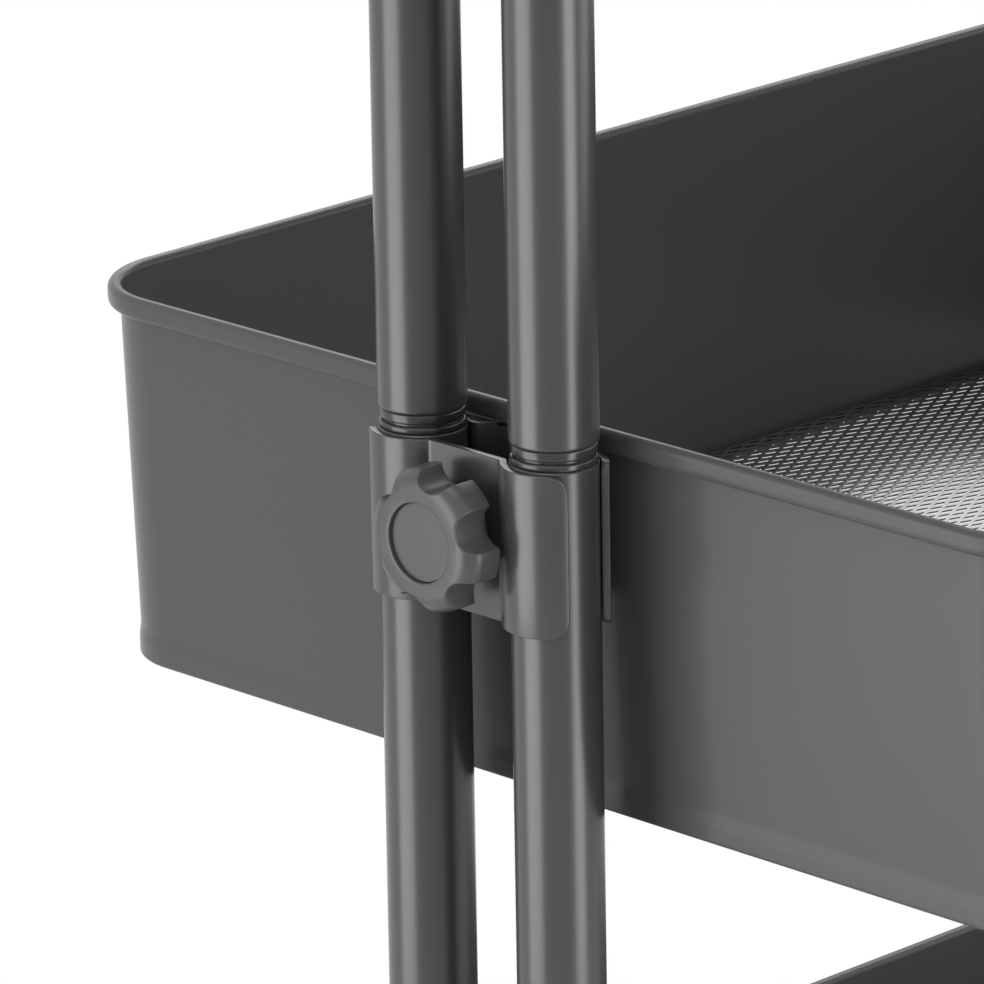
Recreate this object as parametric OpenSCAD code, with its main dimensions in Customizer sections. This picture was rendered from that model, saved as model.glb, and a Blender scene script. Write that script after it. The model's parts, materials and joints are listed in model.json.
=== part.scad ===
// Three-tier rolling cart for files and office supplies. Three sheet-steel baskets with mesh
// floors hang between two ends. Each end has twin tubes close together, a handle above and two
// casters below. Plates bolted through each basket's end wall grip the twin tubes. Star knobs
// on the middle basket's plates let it slide up and down.
// X runs along the baskets, Y across them, Z up. The origin is on the ground, at the centre.

/* [Baskets] */
// Length of a basket over its rim
basket_l = 400; // [360:1:440]
// Width of a basket over its rim
basket_w = 339; // [320:1:360]
// Depth of a basket from the rim to the underside
basket_h = 100; // [80:1:120]
// Corner radius of the rim's outer edge, seen from above
corner_r = 29; // [26:1:40]
// Thickness of the basket's sheet steel
wall_t = 0.8; // [0.6:0.1:1.2]
// How far the walls lean in between the rim and the floor
wall_lean = 3.3; // [2:0.1:5]
// How far the rolled rim stands out from the wall
rim_proud = 3; // [2.6:0.1:3.4]
// Height of the rolled rim
rim_h = 6; // [5:0.1:8]
// Height of the bead along the bottom edge
bead_h = 4.5; // [3.5:0.1:6]
// How far the bottom bead stands out from the wall
bead_proud = 1; // [0.8:0.1:1.5]
// Width of the inward lip that carries the floor mesh
lip_w = 6; // [5:0.5:9]
// Clear height between the bottom basket's rim and the middle basket
lower_gap = 170; // [160:1:190]
// Clear height between the middle basket's rim and the top basket
upper_gap = 168; // [160:1:190]

/* [Floor mesh] */
// Thickness of the floor mesh
mesh_t = 1; // [0.8:0.1:1.5]
// Width of the strands between the diamond openings
strand_w = 3.4; // [2.4:0.1:4.4]
// Openings in a full row along the basket
cells_l = 8; // [6:1:8]
// Openings in a full row across the basket
cells_w = 10; // [8:1:10]
// Clearance between the mesh and the basket's walls
mesh_gap = 0.3; // [0.2:0.1:0.6]

/* [Tubes] */
// Outer diameter of the tubes
tube_d = 22; // [20:0.5:23]
// Wall thickness of the tubes
tube_t = 1.2; // [1:0.1:2]
// Distance between the centre lines of the twin tubes
tube_spacing = 45; // [43:0.5:50]
// Gap between the tubes and the rims of the baskets
rim_gap = 3.2; // [3:0.1:5]
// Radius of the bend from an upright into its leg, at the tube's centre line
leg_bend_r = 40; // [34:1:44]
// Radius of the bend from a leg down to its caster
leg_end_r = 30; // [26:1:36]
// Straight length below that bend
leg_drop = 8; // [5:1:20]
// Distance across the cart between the casters' swivel axes
caster_spread = 290; // [270:1:310]
// Clearance between the leg's bend and the bottom basket's plates
leg_clearance = 5; // [2:1:12]

/* [Handles] */
// Height of the handles above the top basket's rim
handle_h = 122; // [121:1:150]
// Width of a handle between the centre lines of its sides
handle_w = 170; // [162:1:190]
// Radius of the two bends from an upright out to the handle's side, at the tube's centre line
flare_r = 28; // [22:1:31]
// Radius of the handle's top corners, at the tube's centre line
handle_corner_r = 30; // [24:1:32]
// Straight length of the handle's sides
handle_side = 22; // [16:1:24]

/* [Tube joints] */
// Height of the collar's upper ring
upper_ring_h = 2.6; // [2:0.1:3]
// Height of the groove between the rings
groove_h = 0.6; // [0.4:0.1:1]
// Height of the collar's lower ring
lower_ring_h = 1.9; // [1.5:0.1:2.5]
// Step from the tube's surface in to the upper ring
upper_ring_step = 0.4; // [0.2:0.1:0.8]
// Step from the tube's surface in to the lower ring
lower_ring_step = 0.2; // [0.1:0.1:0.4]
// Depth of the groove below the lower ring
groove_depth = 1; // [0.6:0.1:1.4]
// Length of each spigot inside a tube
spigot_l = 25; // [15:1:35]
// Radius of the upper tube's rolled-in mouth
mouth_r = 0.8; // [0.4:0.1:1]

/* [Clamp plates] */
// Height of the plates that grip the tubes
plate_h = 41; // [39:0.5:45]
// Thickness of the plates
plate_t = 2; // [1.6:0.1:2.4]
// Distance from a rim's top down to the plates
plate_drop = 5; // [4.8:0.1:7]
// Clearance between the plates and the tubes
clamp_gap = 0.3; // [0.3:0.05:0.5]
// How far the front plate's middle stands out from the tubes' centre lines
valley_out = 8.2; // [7.8:0.1:8.6]
// Angle round the tube where the front plate ends
front_end_angle = 59; // [50:1:64]
// Angle round the tube where the back plate ends
back_end_angle = 56; // [48:1:60]
// Angle round the tube where the back plate turns towards the basket
back_turn_angle = 40; // [36:1:44]
// Width of the back plate's flat middle
web_w = 18; // [16:0.5:20]
// Corner radius of the front plate's ends
front_corner_r = 4.5; // [3:0.1:6]
// Corner radius of the back plate's ends
back_corner_r = 3; // [2:0.1:4]
// Clearance between the back plate and the wall and rim of the basket
seat_gap = 0.1; // [0.05:0.05:0.2]
// Clearance between the back plate's notch and the rolled rim
notch_gap = 0.4; // [0.3:0.1:0.6]

/* [Bolts and rivets] */
// Diameter of the clamp bolts
bolt_d = 8; // [7:0.5:9]
// Distance from a rim's top down to the clamp bolts
bolt_drop = 24.9; // [24:0.1:27]
// Radial clearance of a clamp bolt in the plates and the wall
bolt_clearance = 0.3; // [0.3:0.05:0.6]
// Diameter of the bolts' domed heads
bolt_head_d = 16; // [14:0.5:17]
// Height of the bolts' domed heads
bolt_head_h = 3.6; // [3:0.1:4.5]
// Width across the flats of the cap nuts
nut_w = 13; // [12:0.5:14]
// Height of a cap nut's hexagon
nut_h = 6.5; // [5:0.5:8]
// Diameter of a cap nut's dome
nut_dome_d = 12; // [11:0.5:12]
// Height of a cap nut's dome
nut_dome_h = 5; // [4:0.5:6]
// Depth of the bolt inside the cap nut's dome
nut_dome_depth = 2; // [1:0.5:3]
// Diameter of the rivets
rivet_d = 4; // [3.5:0.1:4.5]
// Diameter of the rivets' heads
rivet_head_d = 7; // [6:0.1:8]
// Height of the rivets' heads
rivet_head_h = 1.1; // [0.8:0.1:1.3]
// Distance from the clamp bolt up and down to the rivets
rivet_reach = 13.2; // [12.8:0.1:14]
// Radial clearance of a turning or pressed-in piece
fit_gap = 0.05; // [0.03:0.01:0.08]

/* [Knobs] */
// Diameter of the knobs over their lobes
knob_d = 36; // [34:0.5:40]
// Thickness of the knobs' lobed part
knob_t = 10.2; // [9:0.1:12]
// Diameter of the flat on the knobs' fronts
knob_face_d = 26; // [24:0.5:28]
// Depth of the rounded shoulder round the flat
knob_shoulder = 4.4; // [3.5:0.1:5]
// Number of finger notches
notch_count = 6; // [5:1:7]
// Diameter of the finger notches
notch_d = 11.2; // [9:0.1:12]
// Depth of the finger notches
notch_depth = 4.3; // [3.5:0.1:4.6]
// Turn of the first finger notch from the horizontal
notch_turn = 18; // [0:1:60]
// Rounding of the lobed part's back edge
knob_back_r = 1; // [0.5:0.1:1.5]
// Diameter of the hub behind the lobed part
hub_d = 17; // [16:0.5:19]
// Length of the hub behind the lobed part
hub_l = 5.75; // [5.6:0.05:7]
// Diameter of the cap in the knob's front
cap_d = 20; // [18:0.5:22]
// Thickness of the cap
cap_t = 1.6; // [1.2:0.1:2]
// Depth of the cap below the knob's front
cap_recess = 1; // [0.6:0.1:1.4]
// Outer diameter of the knob's threaded insert
insert_d = 12; // [11:0.5:13]
// Length of the threaded insert
insert_l = 11; // [9:0.5:11.5]
// How far the clamp bolt reaches into the insert
thread_reach = 9; // [7:0.5:9]

/* [Casters] */
// Overall height of a caster below its socket
caster_h = 68; // [66:0.5:76]
// Diameter of the wheels
wheel_d = 50; // [46:1:51]
// Width of the wheels
wheel_w = 20; // [16:1:24]
// Thickness of the tyres
tyre_t = 6; // [4:0.5:8]
// Distance the wheels trail behind their swivel axes
trail = 20; // [16:1:22]
// Thickness of the forks' cheeks
cheek_t = 2.6; // [2:0.1:3.5]
// Side clearance between a wheel and the cheeks
cheek_gap = 0.6; // [0.4:0.1:1]
// Radius of the cheeks round the axle
axle_boss_r = 7.5; // [6:0.5:9]
// Diameter of the axles
axle_d = 6; // [5:0.5:7]
// Thickness of the axles' heads
axle_head_t = 2.4; // [2:0.1:3]
// Diameter of the axles' heads
axle_head_d = 11; // [9:0.5:12]
// Outer diameter of the forks' swivel housings
housing_d = 30; // [28:0.5:34]
// Height of the forks' swivel housings
housing_h = 8; // [7:0.5:9]
// Diameter of the stems
stem_d = 10; // [8:0.5:11]
// Height of a stem's hexagon
stem_hex_h = 3.8; // [3:0.1:4.5]
// Width across the flats of a stem's hexagon
stem_hex_w = 17; // [14:0.5:18]
// Diameter of the stem's riveted end inside the fork
stem_head_d = 14; // [13:0.5:16]
// Height of the stem's riveted end
stem_head_h = 2; // [1.6:0.1:2.6]
// Clearance above and below the swivel housing
swivel_gap = 0.2; // [0.2:0.05:0.4]
// Thickness of the socket's flange below the leg
socket_flange_t = 3; // [2:0.5:4]

/* [Brakes] */
// Distance from the axle back to the brake pedal's pin
pin_back = 12; // [11:0.5:13]
// Height of the brake pedal's pin above the axle
pin_up = 26.5; // [26:0.5:28]
// Diameter of the brake pedal's pin
pin_d = 3; // [2.5:0.1:3.2]
// Diameter of the brake pedal's barrel
barrel_d = 6; // [5.6:0.1:6.4]
// Radius of the cheeks round the brake pin
pin_boss_r = 4.5; // [4:0.1:5]
// Length of the brake pedal's tread
tread_l = 26; // [20:1:32]
// Width of the brake pedal's tread
tread_w = 24; // [20:1:28]
// Thickness of the brake pedal's tread
tread_t = 3; // [2.4:0.1:4]
// Slope of the tread when the brake is off
tread_angle = 16; // [12:1:22]

/* [Colours] */
// Colour of the powder-coated steel
coat_colour = "#68696b"; // Any colour
// Colour of the knobs
knob_colour = "#6f6e71"; // Any colour
// Colour of the black plastic pieces
plastic_colour = "#333436"; // Any colour
// Colour of the plated steel pieces
plated_colour = "#b6b8ba"; // Any colour
// Colour of the tyres
tyre_colour = "#4c4d4f"; // Any colour

/* [Hidden] */
$fn = 64;
// How far a cut runs past the surface that it opens
overrun = 1;

// Ends of the cart, their twin tubes and the inner side of their casters
left = -1;
right = 1;
front = -1;
rear = 1;
tube_r = tube_d / 2;
tube_y = tube_spacing / 2;
end_x = basket_l / 2 + rim_gap + tube_r;

// Heights, from the ground up
axle_z = wheel_d / 2;
leg_end_z = caster_h + socket_flange_t;
leg_z = leg_end_z + leg_drop + leg_end_r;
bend_top_z = leg_z + leg_bend_r;
bottom_rim_z = bend_top_z + leg_clearance + plate_h + plate_drop;
joint_z = bottom_rim_z + lower_gap + basket_h;
middle_rim_z = joint_z;
top_rim_z = joint_z + upper_gap + basket_h;
cart_h = top_rim_z + handle_h;

// Collar between the lower and the upper tubes, whose lower ring sits just above the plates
lower_tube_top_z = joint_z - plate_drop + seat_gap;
ring_top_z = lower_tube_top_z + lower_ring_h + groove_h + upper_ring_h;
spigot_r = tube_r - tube_t - fit_gap;
ring_soft_r = groove_h;

// Baskets, measured from the centre lines of the twin tubes
rim_out = tube_r + rim_gap;
rim_w = rim_proud + wall_t;
face_out = rim_out + rim_proud;
lean_share = wall_lean / basket_h;
floor_inset = rim_w + wall_lean;
floor_l = basket_l - 2 * (floor_inset + mesh_gap);
floor_w = basket_w - 2 * (floor_inset + mesh_gap);
floor_corner_r = corner_r - floor_inset - mesh_gap;
corner_steps = 6;

// Plates
grip_r = tube_r + clamp_gap;
plate_r = grip_r + plate_t;
valley_in = valley_out - plate_t;
web_back = face_out + seat_gap;
web_x = web_back - plate_t / 2;
saddle_mid_r = grip_r + plate_t / 2;

// Knob, from the front plate's middle outwards
knob_seat = valley_out + seat_gap;
knob_back = knob_seat + hub_l;
knob_front = knob_back + knob_t;
cap_front = knob_front - cap_recess;
insert_front = knob_seat + insert_l;

// Caster
cheek_in = wheel_w / 2 + cheek_gap;
cheek_out = cheek_in + cheek_t;
housing_z = caster_h - stem_hex_h - swivel_gap - housing_h;
tyre_in_r = wheel_d / 2 - tyre_t;
pin_x = trail + pin_back;
pin_z = axle_z + pin_up;

// Moves its children to one end of the cart, with X outwards from the basket
module at_end(end) {
    rotate([0, 0, end > 0 ? 0 : 180])
        translate([end_x, 0, 0])
            children();
}

// Repeats its children at both ends of the cart
module at_both_ends() {
    for (end = [left, right])
        at_end(end)
            children();
}

// Moves its children to a caster, with X along its trail, which points in under the baskets
module at_caster(end, face) {
    at_end(end)
        translate([0, end * face * caster_spread / 2, 0])
            rotate([0, 0, 180])
                children();
}

// Flat shape: a bar with rounded corners, from the origin
module soft_bar(width, height, r) {
    if (width > 2 * r)
        translate([r, 0])
            square([width - 2 * r, height]);
    if (height > 2 * r)
        translate([0, r])
            square([width, height - 2 * r]);
    for (x = [r, width - r], y = [r, height - r])
        translate([x, y])
            circle(r = r);
}

// Flat shape: a slice of a disc between two angles, with straight outer edges
module sector(r, from, to) {
    steps = 4;
    polygon(concat([[0, 0]], [for (i = [0:steps])
        let (angle = from + (to - from) * i / steps) [r * cos(angle), r * sin(angle)]]));
}

// Flat shape: a bent strip of sheet along a list of points, with round bends and ends
module bent_strip(points, thickness) {
    for (i = [1:len(points) - 1]) {
        step = points[i] - points[i - 1];
        translate(points[i - 1])
            rotate(atan2(step[1], step[0]))
                translate([0, -thickness / 2])
                    square([norm(step), thickness]);
    }
    for (point = points)
        translate(point)
            circle(d = thickness);
}

// Low dome that stands on its flat side
module dome(d, h) {
    r = (d * d / 4 + h * h) / (2 * h);
    rotate_extrude()
        intersection() {
            translate([0, h - r])
                circle(r = r);
            square([d, h]);
        }
}

// Turns its children so that their Z runs outwards along X
module along_x(x, z) {
    translate([x, 0, z])
        rotate([0, 90, 0])
            children();
}

// Distance from the tubes' centre lines in to the inner face of a wall, at a depth below the rim
function wall_in(depth) = face_out + wall_t + lean_share * depth;

// Flat shape: section of the tube
module tube_ring() {
    difference() {
        circle(r = tube_r);
        circle(r = tube_r - tube_t);
    }
}

// Bent tube from the origin along Z, as steps of straight length, bend radius and turn towards Y
module bent_tube(steps, i = 0) {
    if (i < len(steps)) {
        length = steps[i][0];
        radius = steps[i][1];
        turn = steps[i][2];
        side = sign(turn);
        linear_extrude(length)
            tube_ring();
        translate([0, side * radius, length]) {
            if (turn != 0)
                rotate([90, 0, -90 * side])
                    rotate_extrude(angle = abs(turn))
                        translate([radius, 0])
                            tube_ring();
            rotate([-turn, 0, 0])
                translate([0, -side * radius, 0])
                    bent_tube(steps, i + 1);
        }
    }
}

// One lower tube: from its caster up, in along the leg and up to the joint
module lower_upright(end, face) {
    leg_run = caster_spread / 2 - tube_y - leg_end_r - leg_bend_r;
    color(coat_colour)
        at_end(end)
            mirror([0, end * face < 0 ? 1 : 0, 0])
                translate([0, caster_spread / 2, leg_end_z])
                    bent_tube([
                        [leg_drop, leg_end_r, -90],
                        [leg_run, leg_bend_r, 90],
                        [lower_tube_top_z - bend_top_z, 0, 0]
                    ]);
}

// Bottom of an upper tube, rolled in a little at its mouth
module tube_mouth() {
    rotate_extrude()
        difference() {
            translate([tube_r - tube_t, 0])
                square([tube_t, 2 * mouth_r]);
            translate([tube_r - mouth_r, mouth_r])
                difference() {
                    translate([0, -mouth_r - overrun])
                        square([mouth_r + overrun, mouth_r + overrun]);
                    circle(r = mouth_r);
                }
        }
}

// One end's upper tubes: both uprights and the flared handle, bent from a single tube
module handle_frame(end) {
    start_z = ring_top_z + 2 * mouth_r;
    rise = cart_h - tube_r - handle_corner_r - handle_side - 2 * flare_r - start_z;
    flare_run = handle_w / 2 - tube_y - 2 * flare_r;
    color(coat_colour)
        at_end(end)
            for (side = [0, 1])
                mirror([0, side, 0])
                    translate([0, tube_y, ring_top_z]) {
                        tube_mouth();
                        translate([0, 0, 2 * mouth_r])
                            bent_tube([
                                [rise, flare_r, 90],
                                [flare_run, flare_r, -90],
                                [handle_side, handle_corner_r, -90],
                                [handle_w / 2 - handle_corner_r, 0, 0]
                            ]);
                    }
}

// Collars between the lower and upper tubes of one end: two rings with a spigot each way
module joint_collars(end) {
    upper_ring_z = lower_ring_h + groove_h;
    groove_r = tube_r - lower_ring_step - groove_depth;
    color(plastic_colour)
        at_end(end)
            for (side = [-1, 1])
                translate([0, side * tube_y, lower_tube_top_z]) {
                    translate([0, 0, -spigot_l])
                        cylinder(h = 2 * spigot_l + upper_ring_z + upper_ring_h, r = spigot_r);
                    cylinder(h = upper_ring_z + upper_ring_h, r = groove_r);
                    rotate_extrude()
                        soft_bar(tube_r - lower_ring_step, lower_ring_h, ring_soft_r);
                    translate([0, 0, upper_ring_z])
                        rotate_extrude()
                            soft_bar(tube_r - upper_ring_step, upper_ring_h, ring_soft_r);
                }
}

// Flat shape: section of a basket's wall, with its rolled rim, bottom bead and inward lip
module wall_section() {
    face = corner_r - rim_proud;
    foot = face - wall_lean;
    translate([face - wall_t, -rim_h])
        soft_bar(rim_w, rim_h, rim_w / 2);
    polygon([
        [face, -rim_w / 2],
        [face - wall_t, -rim_w / 2],
        [foot - wall_t, -basket_h],
        [foot, -basket_h]
    ]);
    translate([foot - wall_t, -basket_h])
        soft_bar(wall_t + bead_proud, bead_h, (wall_t + bead_proud) / 2);
    translate([foot - wall_t - lip_w, -basket_h])
        square([lip_w + wall_t, wall_t]);
}

// Basket shell: the wall's section carried round a rounded rectangle, drilled at both ends
module basket(rim_z) {
    color(coat_colour)
        difference() {
            translate([0, 0, rim_z])
                for (i = [0:3]) {
                    along = (i % 2 == 0 ? basket_l : basket_w) / 2 - corner_r;
                    across = (i % 2 == 0 ? basket_w : basket_l) / 2 - corner_r;
                    rotate([0, 0, 90 * i])
                        translate([along, across, 0]) {
                            rotate_extrude(angle = 90)
                                wall_section();
                            rotate([90, 0, 0])
                                linear_extrude(2 * across)
                                    wall_section();
                        }
                }
            at_both_ends()
                clamp_holes(rim_z, wall_in(basket_h));
        }
}

// Holes for the clamp bolt and the two rivets, from outside the plates in to a given depth
module clamp_holes(rim_z, depth) {
    for (step = [-1, 0, 1])
        along_x(-depth, rim_z - bolt_drop + step * rivet_reach)
            cylinder(h = depth + knob_seat, r = step == 0 ? bolt_d / 2 + bolt_clearance
                : rivet_d / 2 + fit_gap);
}

// Points of the floor's outline, with its corners in short straight steps
function floor_outline() = [for (i = [0:3], j = [0:corner_steps])
    let (along = (floor_l / 2 - floor_corner_r) * (i == 0 || i == 3 ? 1 : -1),
         across = (floor_w / 2 - floor_corner_r) * (i < 2 ? 1 : -1),
         angle = 90 * (i + j / corner_steps))
        [along + floor_corner_r * cos(angle), across + floor_corner_r * sin(angle)]];

// Centres of the diamond openings: a full grid and a second one between its rows
function diamond_centres(pitch_l, pitch_w) = [for (shift = [0, 1], i = [0:cells_l - 1 - shift],
    j = [0:cells_w - 1 - shift])
        [(i - (cells_l - 1 - shift) / 2) * pitch_l, (j - (cells_w - 1 - shift) / 2) * pitch_w]];

// Floor of a basket: expanded metal that lies on the wall's inward lip
module floor_mesh(rim_z) {
    border = lip_w + strand_w / 2;
    pitch_l = (floor_l - 2 * border) / cells_l;
    pitch_w = (floor_w - 2 * border) / cells_w;
    // Share of its cell that an opening fills, so that the strands have their width
    open_share = 1 - strand_w * norm([pitch_l, pitch_w]) / (pitch_l * pitch_w);
    outline = floor_outline();
    centres = diamond_centres(pitch_l, pitch_w);
    corners = [[1, 0], [0, 1], [-1, 0], [0, -1]];
    points = concat(outline, [for (centre = centres, corner = corners)
        centre + open_share / 2 * [corner[0] * pitch_l, corner[1] * pitch_w]]);
    first = len(outline);
    paths = concat([[for (i = [0:first - 1]) i]],
        [for (k = [0:len(centres) - 1]) [for (i = [0:3]) first + 4 * k + i]]);
    color(coat_colour)
        translate([0, 0, rim_z - basket_h + wall_t])
            linear_extrude(mesh_t)
                polygon(points, paths);
}

// Cuts that round a plate's ends, seen square to the tube
module end_rounding(rim_z, r, end_angle, reach) {
    angle = end_angle - r / plate_r * 180 / PI;
    mid_z = rim_z - plate_drop - plate_h / 2;
    for (side = [0, 1], up = [0, 1])
        translate([0, 0, mid_z])
            mirror([0, side, 0])
                mirror([0, 0, up])
                    translate([0, tube_y, plate_h / 2 - r])
                        rotate([0, 0, angle])
                            difference() {
                                cube([reach, 2 * r, 2 * r]);
                                rotate([0, 90, 0])
                                    cylinder(h = reach, r = r);
                            }
}

// Flat shape: section of the front plate, a channel round each tube and a flat valley between
module front_section() {
    reach = 1.5 * plate_r;
    valley_half = tube_y - sqrt(grip_r * grip_r - valley_in * valley_in);
    for (side = [0, 1])
        mirror([0, side])
            translate([0, tube_y])
                intersection() {
                    difference() {
                        circle(r = plate_r);
                        circle(r = grip_r);
                    }
                    union() {
                        sector(reach, 0, front_end_angle);
                        translate([valley_in, -reach])
                            square([reach, reach]);
                    }
                }
    translate([valley_in, -valley_half])
        square([plate_t, 2 * valley_half]);
}

// Front plate of a clamp, outside the twin tubes
module front_plate(rim_z) {
    difference() {
        translate([0, 0, rim_z - plate_drop - plate_h])
            linear_extrude(plate_h)
                front_section();
        end_rounding(rim_z, front_corner_r, front_end_angle, 2 * plate_r);
        along_x(0, rim_z - bolt_drop)
            cylinder(h = valley_out + overrun, r = bolt_d / 2 + bolt_clearance);
    }
}

// Flat shape: section of the back plate, a saddle behind each tube and a web at the wall
module back_section() {
    turn_x = saddle_mid_r * cos(back_turn_angle);
    turn_y = tube_y - saddle_mid_r * sin(back_turn_angle);
    for (side = [0, 1])
        mirror([0, side])
            translate([0, tube_y])
                intersection() {
                    difference() {
                        circle(r = plate_r);
                        circle(r = grip_r);
                    }
                    sector(1.5 * plate_r, 180 - back_end_angle, 180 + back_turn_angle);
                }
    bent_strip([
        [-turn_x, turn_y],
        [-web_x, web_w / 2],
        [-web_x, -web_w / 2],
        [-turn_x, -turn_y]
    ], plate_t);
}

// Back plate of a clamp, riveted to the basket's wall and notched under its rim
module back_plate(rim_z) {
    notch_x = rim_out - notch_gap;
    difference() {
        translate([0, 0, rim_z - plate_drop - plate_h])
            linear_extrude(plate_h)
                back_section();
        rotate([0, 0, 180])
            end_rounding(rim_z, back_corner_r, back_end_angle, 2 * plate_r);
        translate([-notch_x - 2 * web_x, -web_w, rim_z - rim_h - notch_gap])
            cube([2 * web_x, 2 * web_w, rim_h + overrun]);
        clamp_holes(rim_z, web_back + overrun);
    }
}

// Front plates on both ends of a fixed basket
module front_plates(rim_z) {
    color(coat_colour)
        at_both_ends()
            front_plate(rim_z);
}

// Front plate on one end of the middle basket
module loose_front_plate(end) {
    color(coat_colour)
        at_end(end)
            front_plate(middle_rim_z);
}

// Back plates on both ends of a basket
module back_plates(rim_z) {
    color(coat_colour)
        at_both_ends()
            back_plate(rim_z);
}

// Rivets that hold a basket's back plates to its end walls
module rivets(rim_z) {
    web_front = web_back - plate_t;
    color(plated_colour)
        at_both_ends()
            for (step = [-1, 1]) {
                drop = bolt_drop + step * rivet_reach;
                inner = wall_in(drop + rivet_head_d / 2) + seat_gap;
                along_x(-inner, rim_z - drop)
                    cylinder(h = inner - web_front, d = rivet_d);
                along_x(-web_front, rim_z - drop)
                    dome(rivet_head_d, rivet_head_h);
                along_x(-inner, rim_z - drop)
                    rotate([180, 0, 0])
                        dome(rivet_head_d, rivet_head_h);
            }
}

// Clamp bolts of a basket, whose domed heads lie inside its end walls
module clamp_bolts(rim_z, tip) {
    inner = wall_in(bolt_drop + bolt_head_d / 2) + seat_gap;
    color(plated_colour)
        at_both_ends() {
            along_x(-inner, rim_z - bolt_drop)
                cylinder(h = inner + tip, d = bolt_d);
            along_x(-inner, rim_z - bolt_drop)
                rotate([180, 0, 0])
                    dome(bolt_head_d, bolt_head_h);
        }
}

// Cap nuts that hold a fixed basket's front plates
module cap_nuts(rim_z) {
    color(plated_colour)
        at_both_ends()
            along_x(valley_out, rim_z - bolt_drop)
                difference() {
                    union() {
                        cylinder(h = nut_h, d = nut_w / cos(30), $fn = 6);
                        translate([0, 0, nut_h])
                            dome(nut_dome_d, nut_dome_h);
                    }
                    translate([0, 0, -overrun])
                        cylinder(h = nut_h + nut_dome_depth + overrun, d = bolt_d + 2 * fit_gap);
                }
}

// Flat shape: half section of the knob, from its axis, with the front upwards
module knob_section() {
    knob_r = knob_d / 2;
    face_r = knob_face_d / 2;
    // Arc of the shoulder, level with the flat and as wide as the step out to the lobes
    step = knob_r - face_r;
    shoulder_r = (step * step + knob_shoulder * knob_shoulder) / (2 * knob_shoulder);
    translate([0, hub_l])
        square([face_r, knob_t]);
    translate([0, hub_l])
        soft_bar(knob_r, knob_t - knob_shoulder, knob_back_r);
    translate([0, hub_l + knob_back_r])
        square([knob_r, knob_t - knob_shoulder - knob_back_r]);
    intersection() {
        translate([face_r, hub_l + knob_t - shoulder_r])
            circle(r = shoulder_r);
        translate([face_r, hub_l + knob_back_r])
            square([step, knob_t]);
    }
    square([hub_d / 2, hub_l + knob_back_r]);
}

// Star knob with finger notches, a bore for its insert and a seat for its cap
module knob(end) {
    notch_centre = knob_d / 2 - notch_depth + notch_d / 2;
    color(knob_colour)
        at_end(end)
            along_x(knob_seat, middle_rim_z - bolt_drop)
                difference() {
                    rotate_extrude()
                        knob_section();
                    for (i = [0:notch_count - 1])
                        rotate([0, 0, 90 + notch_turn + 360 / notch_count * i])
                            translate([notch_centre, 0, hub_l - overrun])
                                cylinder(h = knob_t + 2 * overrun, d = notch_d);
                    translate([0, 0, -overrun])
                        cylinder(h = insert_l + overrun, d = insert_d);
                    translate([0, 0, cap_front - knob_seat - cap_t])
                        cylinder(h = cap_t + cap_recess + overrun, d = cap_d);
                }
}

// Threaded insert moulded into a knob
module knob_insert(end) {
    color(plated_colour)
        at_end(end)
            along_x(knob_seat, middle_rim_z - bolt_drop)
                difference() {
                    cylinder(h = insert_l, d = insert_d);
                    translate([0, 0, -overrun])
                        cylinder(h = insert_l + 2 * overrun, d = bolt_d + 2 * fit_gap);
                }
}

// Cap pressed into the front of a knob
module knob_cap(end) {
    color(knob_colour)
        at_end(end)
            along_x(cap_front - cap_t, middle_rim_z - bolt_drop)
                cylinder(h = cap_t, d = cap_d - 2 * fit_gap);
}

// Plugs in the legs' ends that take the casters' stems
module caster_sockets() {
    color(plastic_colour)
        for (end = [left, right], face = [front, rear])
            at_caster(end, face)
                translate([0, 0, caster_h])
                    difference() {
                        union() {
                            cylinder(h = socket_flange_t, r = tube_r);
                            cylinder(h = socket_flange_t + leg_drop, r = spigot_r);
                        }
                        translate([0, 0, -overrun])
                            cylinder(h = socket_flange_t + leg_drop + 2 * overrun, d = stem_d);
                    }
}

// Stems of the four casters, each with its hexagon and the riveted end that holds the fork
module caster_stems() {
    color(plated_colour)
        for (end = [left, right], face = [front, rear])
            at_caster(end, face) {
                translate([0, 0, housing_z - swivel_gap])
                    cylinder(h = caster_h + socket_flange_t + leg_drop - housing_z, d = stem_d);
                translate([0, 0, caster_h - stem_hex_h])
                    cylinder(h = stem_hex_h, d = stem_hex_w / cos(30), $fn = 6);
                translate([0, 0, housing_z - swivel_gap - stem_head_h])
                    cylinder(h = stem_head_h, d = stem_head_d);
            }
}

// Flat shape: outline of a fork's cheek, with its trail along X and its height along Y
module cheek_outline(braked) {
    housing_r = housing_d / 2;
    polygon([
        [-housing_r, housing_z + housing_h / 2],
        [-housing_r, housing_z - housing_h / 2],
        [trail - axle_boss_r, axle_z],
        [trail + axle_boss_r, axle_z],
        [housing_r + axle_boss_r, housing_z - housing_h / 2],
        [housing_r, housing_z + housing_h / 2]
    ]);
    translate([trail, axle_z])
        circle(r = axle_boss_r);
    if (braked) {
        translate([pin_x, pin_z])
            circle(r = pin_boss_r);
        polygon([
            [pin_x, pin_z + pin_boss_r],
            [pin_x + pin_boss_r, pin_z],
            [trail + axle_boss_r, axle_z],
            [0, housing_z + housing_h / 2]
        ]);
    }
}

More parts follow.
